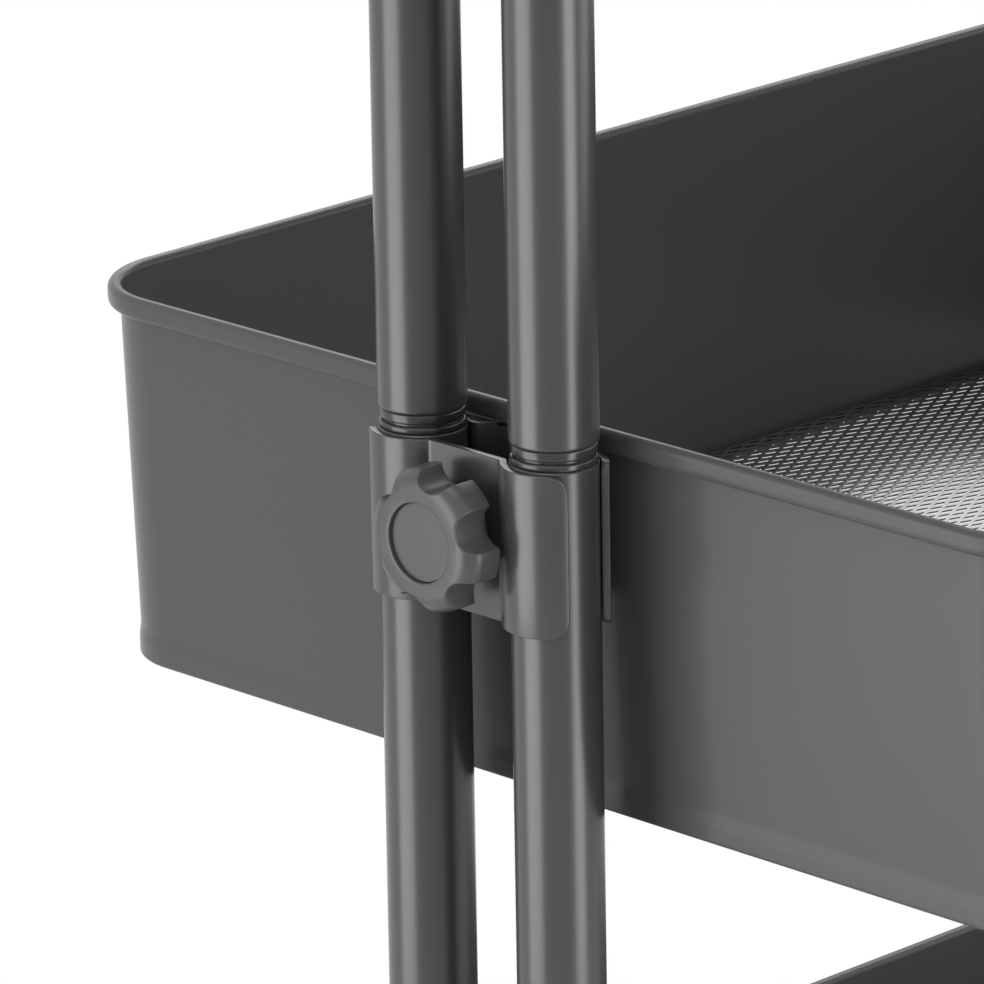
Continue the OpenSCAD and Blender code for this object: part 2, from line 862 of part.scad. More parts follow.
// Fork of one caster: swivel housing, roof and two cheeks
module fork(end, face, braked) {
    color(plastic_colour)
        at_caster(end, face)
            difference() {
                union() {
                    translate([0, 0, housing_z])
                        cylinder(h = housing_h, d = housing_d);
                    translate([-housing_d / 2, -cheek_out, housing_z])
                        cube([housing_d, 2 * cheek_out, housing_h / 2]);
                    for (side = [0, 1])
                        mirror([0, side, 0])
                            translate([0, cheek_out, 0])
                                rotate([90, 0, 0])
                                    linear_extrude(cheek_t)
                                        cheek_outline(braked);
                }
                translate([0, 0, housing_z - overrun])
                    cylinder(h = housing_h + 2 * overrun, d = stem_d + 2 * fit_gap);
                translate([trail, cheek_out + overrun, axle_z])
                    rotate([90, 0, 0])
                        cylinder(h = 2 * (cheek_out + overrun), d = axle_d);
                if (braked)
                    translate([pin_x, cheek_out + overrun, pin_z])
                        rotate([90, 0, 0])
                            cylinder(h = 2 * (cheek_out + overrun), d = pin_d);
            }
}

// Axle of one caster, with a flat head on each side of the fork
module axle(end, face) {
    color(plated_colour)
        at_caster(end, face)
            for (side = [0, 1])
                mirror([0, side, 0])
                    translate([trail, 0, axle_z])
                        rotate([-90, 0, 0]) {
                            cylinder(h = cheek_out + axle_head_t, d = axle_d);
                            translate([0, 0, cheek_out])
                                cylinder(h = axle_head_t, d = axle_head_d);
                        }
}

// Wheel core of one caster, thinner between its hub and its rim
module wheel(end, face) {
    hub_r = axle_boss_r;
    web_t = wheel_w / 3;
    rim_t = tyre_t / 2;
    color(plastic_colour)
        at_caster(end, face)
            translate([trail, 0, axle_z])
                rotate([90, 0, 0])
                    rotate_extrude() {
                        bore_r = axle_d / 2 + fit_gap;
                        translate([bore_r, -wheel_w / 2])
                            square([hub_r - bore_r, wheel_w]);
                        translate([bore_r, -web_t / 2])
                            square([tyre_in_r - bore_r, web_t]);
                        translate([tyre_in_r - rim_t, -wheel_w / 2])
                            square([rim_t, wheel_w]);
                    }
}

// Tyre of one caster, rounded at its edges
module tyre(end, face) {
    color(tyre_colour)
        at_caster(end, face)
            translate([trail, 0, axle_z])
                rotate([90, 0, 0])
                    rotate_extrude()
                        translate([tyre_in_r, -wheel_w / 2])
                            union() {
                                square([tyre_t / 2, wheel_w]);
                                soft_bar(tyre_t, wheel_w, tyre_t / 3);
                            }
}

// Pin of one brake pedal, held in both cheeks
module brake_pin(end, face) {
    color(plated_colour)
        at_caster(end, face)
            translate([pin_x, cheek_out, pin_z])
                rotate([90, 0, 0])
                    cylinder(h = 2 * cheek_out, d = pin_d);
}

// Pedal of one brake: a barrel round its pin and a ribbed tread that a foot presses
module brake_pedal(end, face) {
    barrel_w = 2 * (cheek_in - cheek_gap);
    neck = pin_boss_r + cheek_gap;
    color(plastic_colour)
        at_caster(end, face)
            translate([pin_x, 0, pin_z])
                rotate([0, -tread_angle, 0])
                    difference() {
                        union() {
                            translate([0, barrel_w / 2, 0])
                                rotate([90, 0, 0])
                                    cylinder(h = barrel_w, d = barrel_d);
                            translate([0, -barrel_w / 2, 0])
                                cube([neck + tread_t, barrel_w, tread_t]);
                            translate([neck, -tread_w / 2, 0])
                                cube([tread_l, tread_w, tread_t]);
                        }
                        translate([0, barrel_w / 2 + overrun, 0])
                            rotate([90, 0, 0])
                                cylinder(h = barrel_w + 2 * overrun, d = pin_d + 2 * fit_gap);
                    }
}

lower_upright(left, front);  // lower_upright_left_front
lower_upright(left, rear);  // lower_upright_left_rear
lower_upright(right, front);  // lower_upright_right_front
lower_upright(right, rear);  // lower_upright_right_rear
handle_frame(left);  // handle_frame_left
handle_frame(right);  // handle_frame_right
joint_collars(left);  // joint_collars_left
joint_collars(right);  // joint_collars_right
basket(top_rim_z);  // top_basket
basket(middle_rim_z);  // middle_basket
basket(bottom_rim_z);  // bottom_basket
floor_mesh(top_rim_z);  // top_floor_mesh
floor_mesh(middle_rim_z);  // middle_floor_mesh
floor_mesh(bottom_rim_z);  // bottom_floor_mesh
front_plates(top_rim_z);  // top_front_plates
front_plates(bottom_rim_z);  // bottom_front_plates
loose_front_plate(left);  // middle_front_plate_left
loose_front_plate(right);  // middle_front_plate_right
back_plates(top_rim_z);  // top_back_plates
back_plates(middle_rim_z);  // middle_back_plates
back_plates(bottom_rim_z);  // bottom_back_plates
rivets(top_rim_z);  // top_rivets
rivets(middle_rim_z);  // middle_rivets
rivets(bottom_rim_z);  // bottom_rivets
clamp_bolts(top_rim_z, valley_out + nut_h);  // top_clamp_bolts
clamp_bolts(middle_rim_z, knob_seat + thread_reach);  // middle_clamp_bolts
clamp_bolts(bottom_rim_z, valley_out + nut_h);  // bottom_clamp_bolts
cap_nuts(top_rim_z);  // top_cap_nuts
cap_nuts(bottom_rim_z);  // bottom_cap_nuts
knob(left);  // knob_left
knob(right);  // knob_right
knob_insert(left);  // knob_insert_left
knob_insert(right);  // knob_insert_right
knob_cap(left);  // knob_cap_left
knob_cap(right);  // knob_cap_right
caster_sockets();
caster_stems();
fork(left, front, true);  // fork_left_front
fork(left, rear, true);  // fork_left_rear
fork(right, front, false);  // fork_right_front
fork(right, rear, false);  // fork_right_rear
axle(left, front);  // axle_left_front
axle(left, rear);  // axle_left_rear
axle(right, front);  // axle_right_front
axle(right, rear);  // axle_right_rear
wheel(left, front);  // wheel_left_front
wheel(left, rear);  // wheel_left_rear
wheel(right, front);  // wheel_right_front
wheel(right, rear);  // wheel_right_rear
tyre(left, front);  // tyre_left_front
tyre(left, rear);  // tyre_left_rear
tyre(right, front);  // tyre_right_front
tyre(right, rear);  // tyre_right_rear
brake_pedal(left, front);  // brake_pedal_left_front
brake_pedal(left, rear);  // brake_pedal_left_rear
brake_pin(left, front);  // brake_pin_left_front
brake_pin(left, rear);  // brake_pin_left_rear
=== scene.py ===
"""Looks of the mobile file cart round its CAD frame: visible pieces, finishes and studio."""

import json
import logging
import math
from collections.abc import Callable, Iterable, Sequence
from dataclasses import dataclass, field
from enum import Enum

import bmesh
import bpy
from bmesh.types import BMEdge, BMesh, BMFace, BMVert
from mathutils import Matrix, Vector
from mathutils.geometry import intersect_line_sphere_2d

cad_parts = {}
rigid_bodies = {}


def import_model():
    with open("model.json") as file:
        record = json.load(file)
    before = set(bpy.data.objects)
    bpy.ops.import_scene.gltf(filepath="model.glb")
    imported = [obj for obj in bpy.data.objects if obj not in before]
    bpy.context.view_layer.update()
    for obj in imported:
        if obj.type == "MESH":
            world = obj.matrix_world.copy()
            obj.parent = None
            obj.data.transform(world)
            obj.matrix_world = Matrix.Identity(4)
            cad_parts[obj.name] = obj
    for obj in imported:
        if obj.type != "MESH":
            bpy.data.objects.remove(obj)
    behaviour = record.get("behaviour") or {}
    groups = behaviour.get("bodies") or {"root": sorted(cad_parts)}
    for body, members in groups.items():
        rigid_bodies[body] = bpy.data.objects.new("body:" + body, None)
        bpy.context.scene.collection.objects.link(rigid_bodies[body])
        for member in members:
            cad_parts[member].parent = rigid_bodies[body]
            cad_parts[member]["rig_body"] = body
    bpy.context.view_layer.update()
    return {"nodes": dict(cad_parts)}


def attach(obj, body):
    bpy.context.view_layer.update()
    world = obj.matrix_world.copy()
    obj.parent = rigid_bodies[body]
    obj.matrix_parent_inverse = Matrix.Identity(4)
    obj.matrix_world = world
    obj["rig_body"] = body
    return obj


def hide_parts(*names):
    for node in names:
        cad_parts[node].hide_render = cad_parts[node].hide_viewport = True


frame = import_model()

LOG = logging.getLogger("file_cart")
MM = 0.001
SIDES = 72
KEEP_FLAT = 0.6 * MM
KEEP_FLAT_SMALL = 0.3 * MM
KEEP_FLAT_LEAST = 0.2 * MM
MERGE = 0.01 * MM
CREASE = 32.0
BLOCK_CREASE = 40.0


class Named(Enum):
    """Options whose names are parts of node names."""

    @property
    def word(self) -> str:
        """The option's part of a node name."""
        return self.name.lower()


class End(Named):
    """Ends of the cart along X."""

    LEFT = -1
    RIGHT = 1


class Face(Named):
    """Sides of the cart along Y, as seen from an end's own frame."""

    FRONT = -1
    REAR = 1


class Tier(Named):
    """Baskets by the height of their rims."""

    TOP = 738 * MM
    MIDDLE = 470 * MM
    BOTTOM = 200 * MM


class Slot(Enum):
    """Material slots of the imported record."""

    POWDER_COAT = "powder_coat"
    KNOB_PLASTIC = "knob_plastic"
    BLACK_PLASTIC = "black_plastic"
    PLATED_STEEL = "plated_steel"
    TYRE_RUBBER = "tyre_rubber"


def shift(x: float = 0.0, y: float = 0.0, z: float = 0.0) -> Matrix:
    """Matrix of a shift."""
    return Matrix.Translation((x, y, z))


def turn(degrees: float, axis: str) -> Matrix:
    """Matrix of a turn."""
    return Matrix.Rotation(math.radians(degrees), 4, axis)


@dataclass(frozen=True)
class Layout:
    """Places shared by the sub-assemblies, as in the CAD source, in metres."""

    end_x: float = 214.2 * MM
    tube_y: float = 22.5 * MM
    tube_r: float = 11 * MM
    tube_t: float = 1.2 * MM
    caster_spread: float = 290 * MM
    plate_drop: float = 5 * MM
    plate_h: float = 41 * MM
    bolt_drop: float = 24.9 * MM
    rivet_reach: float = 13.2 * MM

    def at_end(self, end: End) -> Matrix:
        """Frame of one end: X outwards from the basket, origin between the twin tubes."""
        return turn(0 if end is End.RIGHT else 180, "Z") @ shift(self.end_x)

    def at_ends(self, place: Matrix = Matrix()) -> list[Matrix]:
        """The same place at both ends."""
        return [self.at_end(end) @ place for end in End]

    def at_caster(self, end: End, face: Face) -> Matrix:
        """Frame of one caster, with X along its trail."""
        across = end.value * face.value * self.caster_spread / 2
        return self.at_end(end) @ shift(0.0, across) @ turn(180, "Z")


LAYOUT = Layout()


def along_x(x: float, z: float) -> Matrix:
    """Frame whose Z runs outwards along X."""
    return shift(x, 0.0, z) @ turn(90, "Y")


def only(kind: type, geom: Iterable[object]) -> list:
    """Picks the elements of one kind."""
    return [g for g in geom if isinstance(g, kind)]


def stops(run: float, keep_flat: float) -> list[float]:
    """Shares of a stroke at which it gets points, up to its end."""
    return [keep_flat / run, 1 - keep_flat / run, 1.0] if keep_flat else [1.0]


def polar(radius: float, angle: float) -> tuple[float, float]:
    """Point at an angle in radians."""
    return radius * math.cos(angle), radius * math.sin(angle)


def quarter(radius: float, steps: int) -> list[tuple[float, float]]:
    """Points of a quarter round, as distances in from its side and down from its top."""
    angles = [math.pi / 2 * i / steps for i in range(steps + 1)]
    return [(radius * (1 - math.cos(a)), radius * (1 - math.sin(a))) for a in angles]


class Outline:
    """A wire drawn in the XZ plane with straight strokes and arcs."""

    def __init__(self, bm: BMesh, u: float, v: float) -> None:
        """Starts the wire at a point.

        Args:
            bm: The mesh that takes the wire.
            u: The point's X.
            v: The point's Z.
        """
        self.bm = bm
        self.first = bm.verts.new((u, 0.0, v))
        self.last = self.first
        self.verts = [self.first]

    def to(self, u: float, v: float, keep_flat: float = 0.0) -> "Outline":
        """Draws a straight stroke.

        Args:
            u: X of the stroke's end.
            v: Z of the stroke's end.
            keep_flat: Distance from each end of a point that holds the shading flat.

        Returns:
            The outline itself.
        """
        start = self.last.co.copy()
        run = Vector((u, 0.0, v)) - start
        for part in stops(run.length, keep_flat):
            made = bmesh.ops.extrude_vert_indiv(self.bm, verts=[self.last])
            self.last = made["verts"][0]
            bmesh.ops.translate(self.bm, verts=[self.last], vec=start + part * run - self.last.co)
            self.verts.append(self.last)
        return self

    def arc(self, u: float, v: float, degrees: float, steps: int) -> "Outline":
        """Draws an arc, counter-clockwise with X to the right and Z up.

        Args:
            u: X of the arc's centre.
            v: Z of the arc's centre.
            degrees: Angle of the arc.
            steps: Number of strokes.

        Returns:
            The outline itself.
        """
        for _ in range(steps):
            made = bmesh.ops.spin(
                self.bm, geom=[self.last], cent=(u, 0.0, v), axis=(0.0, -1.0, 0.0),
                angle=math.radians(degrees) / steps, steps=1,
            )
            self.last = only(BMVert, made["geom_last"])[0]
            self.verts.append(self.last)
        return self

    def arcs(self, u: float, v: float, turns: Iterable[float]) -> "Outline":
        """Draws a row of strokes round one centre.

        Args:
            u: X of the centre.
            v: Z of the centre.
            turns: Angle of each stroke in degrees.

        Returns:
            The outline itself.
        """
        for degrees in turns:
            self.arc(u, v, degrees, 1)
        return self

    def close(self) -> "Outline":
        """Joins the last point to the first."""
        bmesh.ops.contextual_create(self.bm, geom=[self.last, self.first])
        return self


class Skin:
    """A surface drawn out from a set of edges, which move on with each step."""

    def __init__(self, bm: BMesh, edges: Iterable[BMEdge]) -> None:
        """Starts from edges."""
        self.bm = bm
        self.edges = list(edges)

    @property
    def verts(self) -> list[BMVert]:
        """Vertices of the row that moves on."""
        return list({v for e in self.edges for v in e.verts})

    def step(self) -> None:
        """Draws the row out by nothing, ready to be moved."""
        made = bmesh.ops.extrude_edge_only(self.bm, edges=self.edges)["geom"]
        fresh = set(only(BMVert, made))
        self.edges = [e for e in only(BMEdge, made) if fresh.issuperset(e.verts)]

    def push(self, along: Sequence[float], keep_flat: float = 0.0) -> "Skin":
        """Draws the row straight on.

        Args:
            along: How far and where to.
            keep_flat: Distance from each end of a row that holds the shading flat.

        Returns:
            The skin itself.
        """
        along = Vector(along)
        share = keep_flat / along.length if keep_flat else 0.0
        for part in ([share, 1 - 2 * share, share] if share else [1.0]):
            self.step()
            bmesh.ops.translate(self.bm, verts=self.verts, vec=along * part)
        return self

    def swing(
        self, centre: Sequence[float], axis: Sequence[float], degrees: float, steps: int,
    ) -> "Skin":
        """Draws the row round an axis.

        Args:
            centre: A point on the axis.
            axis: The axis.
            degrees: Angle of the swing.
            steps: Number of rows.

        Returns:
            The skin itself.
        """
        made = bmesh.ops.spin(
            self.bm, geom=self.verts + self.edges, cent=centre, axis=axis,
            angle=math.radians(degrees), steps=steps,
        )
        self.edges = only(BMEdge, made["geom_last"])
        return self


class Turned:
    """A round piece turned about Z, drawn as rings from one end to the other."""

    def __init__(self, radius: float, z: float, sides: int = SIDES, capped: bool = True) -> None:
        """Starts with one ring.

        Args:
            radius: Radius of the ring.
            z: Height of the ring.
            sides: Number of sides.
            capped: Whether the start is closed.
        """
        self.bm = bmesh.new()
        self.radius = radius
        self.z = z
        bmesh.ops.create_circle(
            self.bm, cap_ends=capped, segments=sides, radius=radius, matrix=shift(z=z),
        )
        self.skin = Skin(self.bm, self.bm.edges)

    def to(self, radius: float, z: float, keep_flat: float = 0.0) -> "Turned":
        """Draws the surface on to a new ring.

        Args:
            radius: Radius of the new ring.
            z: Height of the new ring.
            keep_flat: Distance from each end of a ring that holds the shading flat.

        Returns:
            The piece itself.
        """
        start_r, start_z = self.radius, self.z
        run = math.hypot(radius - start_r, z - start_z)
        for part in stops(run, keep_flat):
            new_r = start_r + part * (radius - start_r)
            new_z = start_z + part * (z - start_z)
            self.skin.step()
            ratio = new_r / self.radius
            bmesh.ops.scale(self.bm, verts=self.skin.verts, vec=(ratio, ratio, 1.0))
            bmesh.ops.translate(self.bm, verts=self.skin.verts, vec=(0.0, 0.0, new_z - self.z))
            self.radius, self.z = new_r, new_z
        return self

    def round(self, d_radius: float, d_z: float, out_first: bool, steps: int = 5) -> "Turned":
        """Draws a quarter of an ellipse.

        Args:
            d_radius: Change of radius.
            d_z: Change of height.
            out_first: Whether the radius changes first, and the height last.
            steps: Number of rings.

        Returns:
            The piece itself.
        """
        start_r, start_z = self.radius, self.z
        for i in range(1, steps + 1):
            angle = math.pi / 2 * i / steps
            fast, slow = math.sin(angle), 1 - math.cos(angle)
            part_r, part_z = (fast, slow) if out_first else (slow, fast)
            self.to(start_r + d_radius * part_r, start_z + d_z * part_z)
        return self

    def dome(self, height: float, steps: int = 8) -> "Turned":
        """Draws a low dome over the last ring, to a small ring at its top.

        Args:
            height: Height of the dome.
            steps: Number of rings.

        Returns:
            The piece itself.
        """
        foot_r, foot_z = self.radius, self.z
        ball_r = (foot_r**2 + height**2) / (2 * abs(height))
        side = 1.0 if height > 0 else -1.0
        for i in range(1, steps + 1):
            r = foot_r * (1 - i / (steps + 0.4))
            rise = math.sqrt(ball_r**2 - r**2) - (ball_r - abs(height))
            self.to(r, foot_z + side * rise)
        return self.cap()

    def cap(self) -> "Turned":
        """Closes the last ring with a flat face."""
        bmesh.ops.contextual_create(self.bm, geom=self.skin.verts + self.skin.edges)
        return self


def tidy(bm: BMesh, gap: float = 0.001 * MM) -> None:
    """Merges doubles and turns the faces outwards."""
    bmesh.ops.remove_doubles(bm, verts=bm.verts[:], dist=gap)
    bmesh.ops.recalc_face_normals(bm, faces=bm.faces[:])


def copies(bm: BMesh, places: Sequence[Matrix]) -> None:
    """Puts copies of a whole mesh at several places.

    Args:
        bm: The mesh, which ends with one copy at each place.
        places: The places.
    """
    original = bm.verts[:] + bm.edges[:] + bm.faces[:]
    twins = [bmesh.ops.duplicate(bm, geom=original)["geom"] for _ in places[1:]]
    for geom, place in zip([original, *twins], places, strict=True):
        bmesh.ops.transform(bm, verts=only(BMVert, geom), matrix=place)
        if place.determinant() < 0:
            bmesh.ops.reverse_faces(bm, faces=only(BMFace, geom))


def cut(bm: BMesh, point: Sequence[float], out: Sequence[float]) -> None:
    """Cuts off what lies beyond a plane.

    Args:
        bm: The mesh.
        point: A point of the plane.
        out: Normal of the plane, towards what goes.
    """
    bmesh.ops.bisect_plane(
        bm, geom=bm.verts[:] + bm.edges[:] + bm.faces[:], dist=0.0001 * MM,
        plane_co=point, plane_no=out, clear_outer=True,
    )


def soften(bm: BMesh, width: float, degrees: float, segments: int) -> None:
    """Rounds the sharp edges of a mesh.

    Args:
        bm: The mesh.
        width: Distance that the rounding takes from each face.
        degrees: Least angle between faces that counts as sharp.
        segments: Number of strips in the rounding.
    """
    limit = math.radians(degrees)
    sharp = [e for e in bm.edges if e.is_manifold and e.calc_face_angle(0.0) > limit]
    bmesh.ops.bevel(
        bm, geom=sharp, offset=width, offset_type="OFFSET", affect="EDGES",
        segments=segments, profile=0.5, material=-1, clamp_overlap=True,
    )


def block(size: tuple[float, float, float], edge: float, segments: int = 3) -> BMesh:
    """Block round the origin with rounded edges.

    Args:
        size: Size along each axis.
        edge: Distance that the rounding takes from each face.
        segments: Number of strips in the rounding.

    Returns:
        The block.
    """
    bm = bmesh.new()
    bmesh.ops.create_cube(bm, size=1.0, matrix=Matrix.Diagonal((*size, 1.0)))
    soften(bm, edge, BLOCK_CREASE, segments)
    return bm


def add_object(name: str, data: bpy.types.ID) -> bpy.types.Object:
    """Puts an object into the scene.

    Args:
        name: Name of the object.
        data: What it shows.

    Returns:
        The object.
    """
    made = bpy.data.objects.new(name, data)
    bpy.context.scene.collection.objects.link(made)
    return made


def finish_mesh(bm: BMesh, name: str, crease: float) -> bpy.types.Object:
    """Makes an object of a mesh, smooth but for its sharp edges.

    Args:
        bm: The mesh, which is freed.
        name: Name of the object.
        crease: Angle in degrees from which an edge stays sharp.

    Returns:
        The object.
    """
    limit = math.radians(crease)
    for face in bm.faces:
        face.smooth = True
    for edge in bm.edges:
        edge.smooth = not edge.is_manifold or edge.calc_face_angle(0.0) < limit
    mesh = bpy.data.meshes.new(name)
    bm.to_mesh(mesh)
    bm.free()
    return add_object(name, mesh)


class Signal:
    """A shader socket that takes Python's arithmetic."""

    def __init__(self, graph: "Graph", socket: bpy.types.NodeSocket) -> None:
        """Wraps a socket."""
        self.graph = graph
        self.socket = socket

    def _math(self, operation: str, *values: "Signal | float") -> "Signal":
        """Adds one Math node."""
        return self.graph.node("ShaderNodeMath", {"operation": operation}, dict(enumerate(values)))

    def __add__(self, other: "Signal | float") -> "Signal":
        """Sum."""
        return self._math("ADD", self, other)

    def __radd__(self, other: float) -> "Signal":
        """Sum with a number on the left."""
        return self._math("ADD", other, self)

    def __sub__(self, other: "Signal | float") -> "Signal":
        """Difference."""
        return self._math("SUBTRACT", self, other)

    def __rsub__(self, other: float) -> "Signal":
        """Difference from a number on the left."""
        return self._math("SUBTRACT", other, self)

    def __mul__(self, other: "Signal | float") -> "Signal":
        """Product."""
        return self._math("MULTIPLY", self, other)

    def __rmul__(self, other: float) -> "Signal":
        """Product with a number on the left."""
        return self._math("MULTIPLY", other, self)

    def ramp(self, low: float, high: float) -> "Signal":
        """Smooth step from 0 to 1 between two values.

        Args:
            low: Value that gives 0.
            high: Value that gives 1.

        Returns:
            The stepped value.
        """
        return self.graph.node(
            "ShaderNodeMapRange", {"interpolation_type": "SMOOTHSTEP"},
            {"Value": self, "From Min": low, "From Max": high},
        )

    def larger(self, other: "Signal | float") -> "Signal":
        """The larger of two values."""
        return self._math("MAXIMUM", self, other)


Colour = tuple[float, float, float]
Input = Signal | float | Colour


class Graph:
    """Node tree of a material or a world, with one way to add a node."""

    def __init__(self, tree: bpy.types.NodeTree) -> None:
        """Empties a node tree."""
        self.tree = tree
        tree.nodes.clear()

    def node(
        self,
        kind: str,
        settings: dict[str, object] | None = None,
        inputs: dict[str | int, Input] | None = None,
        output: str | int = 0,
    ) -> Signal:
        """Adds a node, sets it up and links it.

        Args:
            kind: The node's type.
            settings: Its settings, such as an operation.
            inputs: Values or links of its sockets.
            output: The output socket to hand back.

        Returns:
            That output.
        """
        made = self.tree.nodes.new(kind)
        for name, value in (settings or {}).items():
            setattr(made, name, value)
        for key, value in (inputs or {}).items():
            socket = made.inputs[key]
            if isinstance(value, Signal):
                self.tree.links.new(value.socket, socket)
            elif isinstance(value, tuple) and len(value) == 3 and socket.type == "RGBA":
                socket.default_value = (*value, 1.0)
            else:
                socket.default_value = value
        return Signal(self, made.outputs[output] if made.outputs else None)

    def place(self) -> Signal:
        """Object coordinates in millimetres."""
        where = self.node("ShaderNodeTexCoord", output="Object")
        inputs = {"Vector": where, "Scale": (1 / MM,) * 3}
        return self.node("ShaderNodeMapping", {"vector_type": "POINT"}, inputs)

    def noise(self, where: Signal, grain: float, detail: float = 2.0, rough: float = 0.5) -> Signal:
        """Noise between 0 and 1.

        Args:
            where: Coordinates in millimetres.
            grain: Size of a cell in millimetres.
            detail: Number of finer layers.
            rough: Strength of the finer layers.

        Returns:
            The noise.
        """
        return self.node(
            "ShaderNodeTexNoise", {"noise_dimensions": "3D"},
            {"Vector": where, "Scale": 1 / grain, "Detail": detail, "Roughness": rough},
        )

    def specks(self, where: Signal, spacing: float, radius: float) -> Signal:
        """Round specks scattered over the surface, 1 in their middles.

        Args:
            where: Coordinates in millimetres.
            spacing: Mean distance between specks in millimetres.
            radius: Radius of a speck in millimetres.

        Returns:
            The mask of the specks.
        """
        near = self.node(
            "ShaderNodeTexVoronoi", {"voronoi_dimensions": "3D", "feature": "F1"},
            {"Vector": where, "Scale": 1 / spacing},
        )
        return 1.0 - near.ramp(0.5 * radius / spacing, radius / spacing)

    def blend(self, share: Input, low: Input, high: Input) -> Signal:
        """Mixes two colours."""
        return self.node("ShaderNodeMix", {"data_type": "RGBA"}, {0: share, 6: low, 7: high}, 2)

    def bump(self, height: Signal, depth: float, under: Signal | None = None) -> Signal:
        """Relief of the surface.

        Args:
            height: Height between 0 and 1.
            depth: Depth of the relief in metres.
            under: A relief that this one lies on.

        Returns:
            The normal.
        """
        inputs: dict[str | int, Input] = {"Strength": 1.0, "Distance": depth, "Height": height}
        if under is not None:
            inputs["Normal"] = under
        return self.node("ShaderNodeBump", None, inputs)


def linear(grey: float, tint: Colour = (1.0, 1.0, 1.0)) -> Colour:
    """Linear colour of a grey that is named as a screen value.

    Args:
        grey: Screen value from 0 to 255.
        tint: Factor of each channel.

    Returns:
        The linear colour.
    """
    share = grey / 255
    level = share / 12.92 if share <= 0.04045 else ((share + 0.055) / 1.055) ** 2.4
    return tuple(level * t for t in tint)


@dataclass(frozen=True)
class Finish:
    """A surface finish, whose sizes are in millimetres unless said otherwise."""

    name: str
    slot: Slot
    grey: float
    tint: Colour = (0.96, 1.0, 1.05)
    roughness: float = 0.4
    specular: float = 0.5
    metallic: float = 0.0

    def shade(self, factor: float = 1.0) -> Colour:
        """Linear colour of the finish, lighter or darker."""
        return tuple(factor * c for c in linear(self.grey, self.tint))

    def material(self) -> bpy.types.Material:
        """The material, made once.

        Returns:
            The material.
        """
        known = bpy.data.materials.get(self.name)
        if known:
            return known
        made = bpy.data.materials.new(self.name)
        made.use_nodes = True
        graph = Graph(made.node_tree)
        colour, roughness, normal = self.pattern(graph, graph.place())
        shader = graph.node(
            "ShaderNodeBsdfPrincipled", None,
            {
                "Base Color": colour, "Roughness": roughness, "Normal": normal,
                "Metallic": self.metallic, "Specular IOR Level": self.specular,
            },
        )
        graph.node("ShaderNodeOutputMaterial", None, {"Surface": shader})
        return made

    def pattern(self, graph: Graph, where: Signal) -> tuple[Signal, Signal, Signal]:
        """Colour, roughness and relief of the finish."""
        raise NotImplementedError


@dataclass(frozen=True)
class PowderCoat(Finish):
    """Satin powder coat: faint orange peel, fine grain and rare nibs under the film."""

    peel: float = 1.1
    peel_depth: float = 0.0025
    grain: float = 0.16
    grain_depth: float = 0.0007
    nib_spacing: float = 34.0
    nib_radius: float = 0.42
    nib_height: float = 0.12
    nib_tint: float = 1.9
    nib_share: float = 0.35
    cloud: float = 60.0
    cloud_share: float = 0.35
    colour_spread: float = 0.04
    gloss_patch: float = 24.0
    gloss_spread: float = 0.02

    def pattern(self, graph: Graph, where: Signal) -> tuple[Signal, Signal, Signal]:
        """Colour, roughness and relief of the coat.

        Args:
            graph: The material's graph.
            where: Object coordinates in millimetres.

        Returns:
            Colour, roughness and normal.
        """
        cloud = graph.noise(where, self.cloud, 3.0)
        flecks = graph.noise(where, self.grain * 2, 1.0)
        nibs = graph.specks(where, self.nib_spacing, self.nib_radius)
        mix = self.cloud_share * cloud + (1 - self.cloud_share) * flecks
        dark, light = self.shade(1 - self.colour_spread), self.shade(1 + self.colour_spread)
        colour = graph.blend(mix, dark, light)
        colour = graph.blend(self.nib_share * nibs, colour, self.shade(self.nib_tint))
        least = self.roughness - self.gloss_spread / 2
        roughness = least + self.gloss_spread * graph.noise(where, self.gloss_patch)
        peel = graph.bump(graph.noise(where, self.peel), self.peel_depth * MM)
        grain = graph.bump(flecks, self.grain_depth * MM, peel)
        normal = graph.bump(nibs, self.nib_height * MM, grain)
        return colour, roughness, normal


@dataclass(frozen=True)
class MouldedPlastic(Finish):
    """Moulded plastic with a fine spark-eroded grain."""

    grain: float = 0.22
    grain_depth: float = 0.006
    flow: float = 14.0
    gloss_spread: float = 0.08

    def pattern(self, graph: Graph, where: Signal) -> tuple[Signal, Signal, Signal]:
        """Colour, roughness and relief of the plastic.

        Args:
            graph: The material's graph.
            where: Object coordinates in millimetres.

        Returns:
            Colour, roughness and normal.
        """
        flow = graph.noise(where, self.flow)
        grain = graph.noise(where, self.grain, 2.0, 0.6)
        colour = graph.blend(flow.ramp(0.25, 0.75), self.shade(0.94), self.shade(1.05))
        colour = graph.blend(0.5 * grain.ramp(0.55, 0.8), colour, self.shade(1.25))
        roughness = self.roughness - self.gloss_spread / 2 + self.gloss_spread * grain
        normal = graph.bump(grain, self.grain_depth * MM)
        return colour, roughness, normal


@dataclass(frozen=True)
class PlatedSteel(Finish):
    """Zinc-plated steel with fine turning marks and a faint bloom."""

    streak: float = 0.12
    streak_depth: float = 0.0012
    gloss_spread: float = 0.18

    def pattern(self, graph: Graph, where: Signal) -> tuple[Signal, Signal, Signal]:
        """Colour, roughness and relief of the plating.

        Args:
            graph: The material's graph.
            where: Object coordinates in millimetres.

        Returns:
            Colour, roughness and normal.
        """
        bloom = graph.noise(where, 3.0, 4.0, 0.6)
        marks = graph.noise(where, self.streak, 1.0)
        colour = graph.blend(bloom.ramp(0.35, 0.7), self.shade(0.8), self.shade())
        roughness = self.roughness + self.gloss_spread * bloom
        normal = graph.bump(marks, self.streak_depth * MM)
        return colour, roughness, normal


